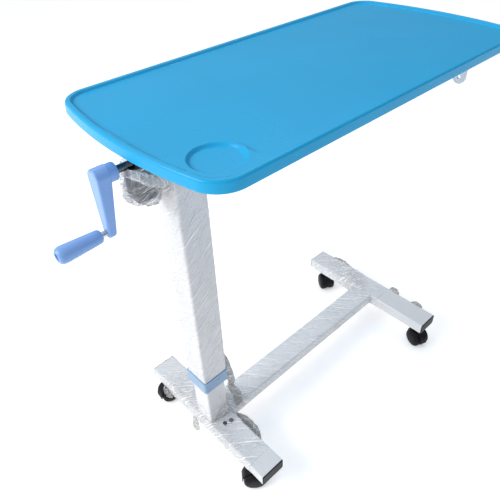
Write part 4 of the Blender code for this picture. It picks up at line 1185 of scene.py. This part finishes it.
def make_sleeve(name, body, node, axis, columns, seed, lean, look, spots, low, high):
    """A wrinkled sleeve of film round a square tube, between two places along it."""
    box_low, box_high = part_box(node)
    order = {"x": (1, 2), "y": (0, 2), "z": (0, 1)}[axis]
    middle = [(box_low[i] + box_high[i]) / 2 for i in order]
    half = [(box_high[i] - box_low[i]) / 2 for i in order]
    corner, fold_height, spacing, length = look
    ring = section_points(half[0], half[1], corner, columns)
    placed = [(at(*spot), *rest) for spot, *rest in spots]
    rows = max(2, int((high - low) / SLEEVE_STEP))
    points, marks = [], []
    for row in range(rows + 1):
        along = low + (high - low) * row / rows
        for (u, v), away, distance in ring:
            outward = lay(axis, 0.0, away.x, away.y)
            spot = lay(axis, along, middle[0] + u, middle[1] + v)
            fold = fold_at(along, distance, seed, lean, spacing, length)
            extra, extra_fold, extra_haze = crumpled_spots(placed, spot, seed)
            height = fold_height * fold + extra
            if outward.z < -0.5:
                height *= 0.25
            if row in (0, rows):
                height *= 0.5
                spot += lay(axis, 0.004 * noise.noise(Vector((distance * 90.0, seed, row))), 0.0, 0.0)
            points.append(spot + outward * (FILM_GAP + height))
            marks.append((min(1.0, fold + extra_fold), FILM_HAZE + extra_haze, along, distance))
    sleeve = lofted(name, points, columns, "open")
    thicken(sleeve)
    finish_film(sleeve, body, marks)


def make_pouch():
    """A loose crumpled bag round the shaft's bearing block, closed at its foot and open at its top."""
    low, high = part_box("shaft_bearing_block")
    centre = (low + high) / 2 + POUCH_OFFSET
    points, marks = [], []
    for row in range(POUCH_ROWS + 1):
        level = row / POUCH_ROWS
        shrink = max(0.02, math.sin(math.pi / 2 * min(1.0, level * POUCH_OPENING)))
        shrink *= 1.0 - 0.12 * max(0.0, level - 0.75) * 4
        for angle in angles_round(POUCH_COLUMNS):
            away = Vector((math.cos(angle), math.sin(angle), 0.0))
            u, v = [math.copysign(abs(c) ** POUCH_SQUARENESS, c) for c in (away.x, away.y)]
            spot = centre + Vector(
                (u * POUCH_HALF[0] * shrink, v * POUCH_HALF[1] * shrink, (2 * level - 1) * POUCH_HALF[2])
            )
            fold = crumple_at(spot, POUCH_SEED, 0.014)
            swell = (crumple_at(spot, POUCH_SEED + 3.0, 0.034) - 0.45) * 1.2
            move = away if level > 0.08 else -UP
            points.append(spot + move * POUCH_CRUMPLE * (fold - 0.4 + swell) * max(0.15, shrink))
            marks.append((fold, POUCH_HAZE * (0.3 + fold), spot.z, angle * POUCH_HALF[0]))
    faces = strip_faces(POUCH_ROWS + 1, POUCH_COLUMNS) + [tuple(reversed(range(POUCH_COLUMNS)))]
    pouch = make_object("film_block", points, faces)
    face_outwards(pouch)
    thicken(pouch)
    finish_film(pouch, "lifting_top", marks)


def spline(ends, share):
    """A point on the smooth line through the two middle ones of four points."""
    a, b, c, d = ends
    return 0.5 * (
        2 * b + (c - a) * share + (2 * a - 5 * b + 4 * c - d) * share**2 + (3 * b - a - 3 * c + d) * share**3
    )


def make_tail(name, body, film, seed, haze, stations):
    """A loose flat twist of film through (x, y, z, half width) stations, drawn to a point at both ends."""
    path = [at(*station[:3]) for station in stations]
    widths = [station[3] for station in stations]
    steps = TAIL_STEPS * (len(path) - 1)
    points, marks = [], []
    for step in range(steps + 1):
        share = step / steps
        where = share * (len(path) - 1)
        index = min(int(where), len(path) - 2)
        part = where - index
        ends = [path[max(index - 1, 0)], path[index], path[index + 1], path[min(index + 2, len(path) - 1)]]
        spot = spline(ends, part)
        along = (spline(ends, min(1.0, part + 0.05)) - spline(ends, max(0.0, part - 0.05))).normalized()
        across = along.cross(SHEET_FACES).normalized()
        other = along.cross(across)
        width = widths[index] + (widths[index + 1] - widths[index]) * part
        width *= min(1.0, 5.0 * share + 0.08, 5.0 * (1.0 - share) + 0.08)
        for angle in angles_round(TAIL_SIDES):
            away = across * math.cos(angle) + other * math.sin(angle) * TAIL_FLATNESS
            edge = spot + away * width
            fold = crumple_at(edge, seed, 0.011)
            points.append(edge + away * TAIL_CRUMPLE * (fold - 0.3))
            marks.append((fold, haze * (0.4 + fold), share * 0.05, angle * width))
    finish_film(lofted(name, points, TAIL_SIDES), body, marks, film)


def sleeve_ends():
    """Where each sleeve starts and stops along its tube, in the order of SLEEVES."""
    column_low, column_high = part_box("outer_column")
    bar_low, bar_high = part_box("crossbar")
    return (
        (column_low.z + COLUMN_BARE, column_high.z - COLUMN_BARE),
        (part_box("inner_column")[0].z + POST_BARE, POST_FILM_TOP),
        (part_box("near_foot")[0].y + NEAR_FOOT_BARE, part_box("near_foot_cap_left")[1].y - CAP_BARE),
        (MIDDLE.y - FAR_FOOT_REACH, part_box("far_foot_cap_left")[1].y - CAP_BARE),
        (bar_low.x + CROSSBAR_BARE, bar_high.x - CROSSBAR_BARE),
    )


# Studio


def make_floor():
    corners = ((-1, -1), (1, -1), (1, 1), (-1, 1))
    points = [Vector((x * FLOOR_HALF, y * FLOOR_HALF, 0.0)) for x, y in corners]
    floor = make_object("floor", points, [(0, 1, 2, 3)])
    tree, shader = new_material("studio_floor", roughness=0.85, specular_ior_level=0.1)
    speckle = noise_value(tree, place(tree), 40.0)
    speckled = blend(tree, speckle, (0.93, 0.93, 0.93), (0.95, 0.95, 0.95))
    feed(tree, shader.inputs["Base Color"], speckled)
    shader.inputs["Emission Color"].default_value = (1.0, 1.0, 1.0, 1.0)
    shader.inputs["Emission Strength"].default_value = FLOOR_GLOW
    floor.data.materials.append(MATERIALS["studio_floor"])


def make_world():
    """Soft light from all round: pale above, and darker to the right of the camera than to its left."""
    world = bpy.data.worlds.new("studio")
    world.use_nodes = True
    tree = world.node_tree
    where = add_node(tree, "ShaderNodeTexCoord").outputs["Generated"]
    parts = add_node(tree, "ShaderNodeSeparateXYZ", {"Vector": where})
    across = calculate(tree, "ADD", parts.outputs["X"], calculate(tree, "MULTIPLY", parts.outputs["Y"], -0.6))
    low = blend(tree, remap(tree, across, -0.9, 0.9), (0.52, 0.53, 0.54), (0.16, 0.19, 0.24))
    height = remap(tree, parts.outputs["Z"], 0.25, 0.95)
    background = tree.nodes["Background"]
    feed(tree, background.inputs["Color"], blend(tree, height, low, (0.86, 0.87, 0.90)))
    background.inputs["Strength"].default_value = 1.0
    bpy.context.scene.world = world


def make_light(name, place_at, size, power, tint=(1.0, 1.0, 1.0)):
    """A soft panel that faces the middle of the table."""
    data = bpy.data.lights.new(name, "AREA")
    data.shape = "RECTANGLE"
    data.size, data.size_y = size
    data.energy = power
    data.color = tint
    lamp = bpy.data.objects.new(name, data)
    lamp.location = place_at
    lamp.rotation_euler = (at(*LIGHT_TARGET) - place_at).to_track_quat("-Z", "Y").to_euler()
    bpy.context.scene.collection.objects.link(lamp)


def make_camera():
    data = bpy.data.cameras.new("camera")
    data.sensor_width = 36.0
    data.lens = CAMERA_LENS
    data.clip_start, data.clip_end = 0.05, 60.0
    camera = bpy.data.objects.new("camera", data)
    camera.location = at(*CAMERA_PLACE)
    camera.rotation_euler = [math.radians(angle) for angle in CAMERA_ANGLES]
    bpy.context.scene.collection.objects.link(camera)
    bpy.context.scene.camera = camera


make_materials()
paint_nodes()
make_tray()
make_crank()
make_grip()
make_casters()
make_bolts()
make_collar_screw()
make_column_beads()
make_crossbar_beads()
make_frame_beads()
for sleeve, ends in zip(SLEEVES, sleeve_ends()):
    make_sleeve(*sleeve, *ends)
make_pouch()
for tail in TAILS:
    make_tail(*tail)
make_floor()
make_world()
make_light("window", at(-2.7, 0.9, 2.3), (1.8, 1.2), 62.0, (1.0, 0.99, 0.98))
make_light("strip", at(0.8, 1.6, 2.6), (2.4, 0.25), 8.0)
make_camera()
bpy.context.scene.view_settings.view_transform = "Standard"
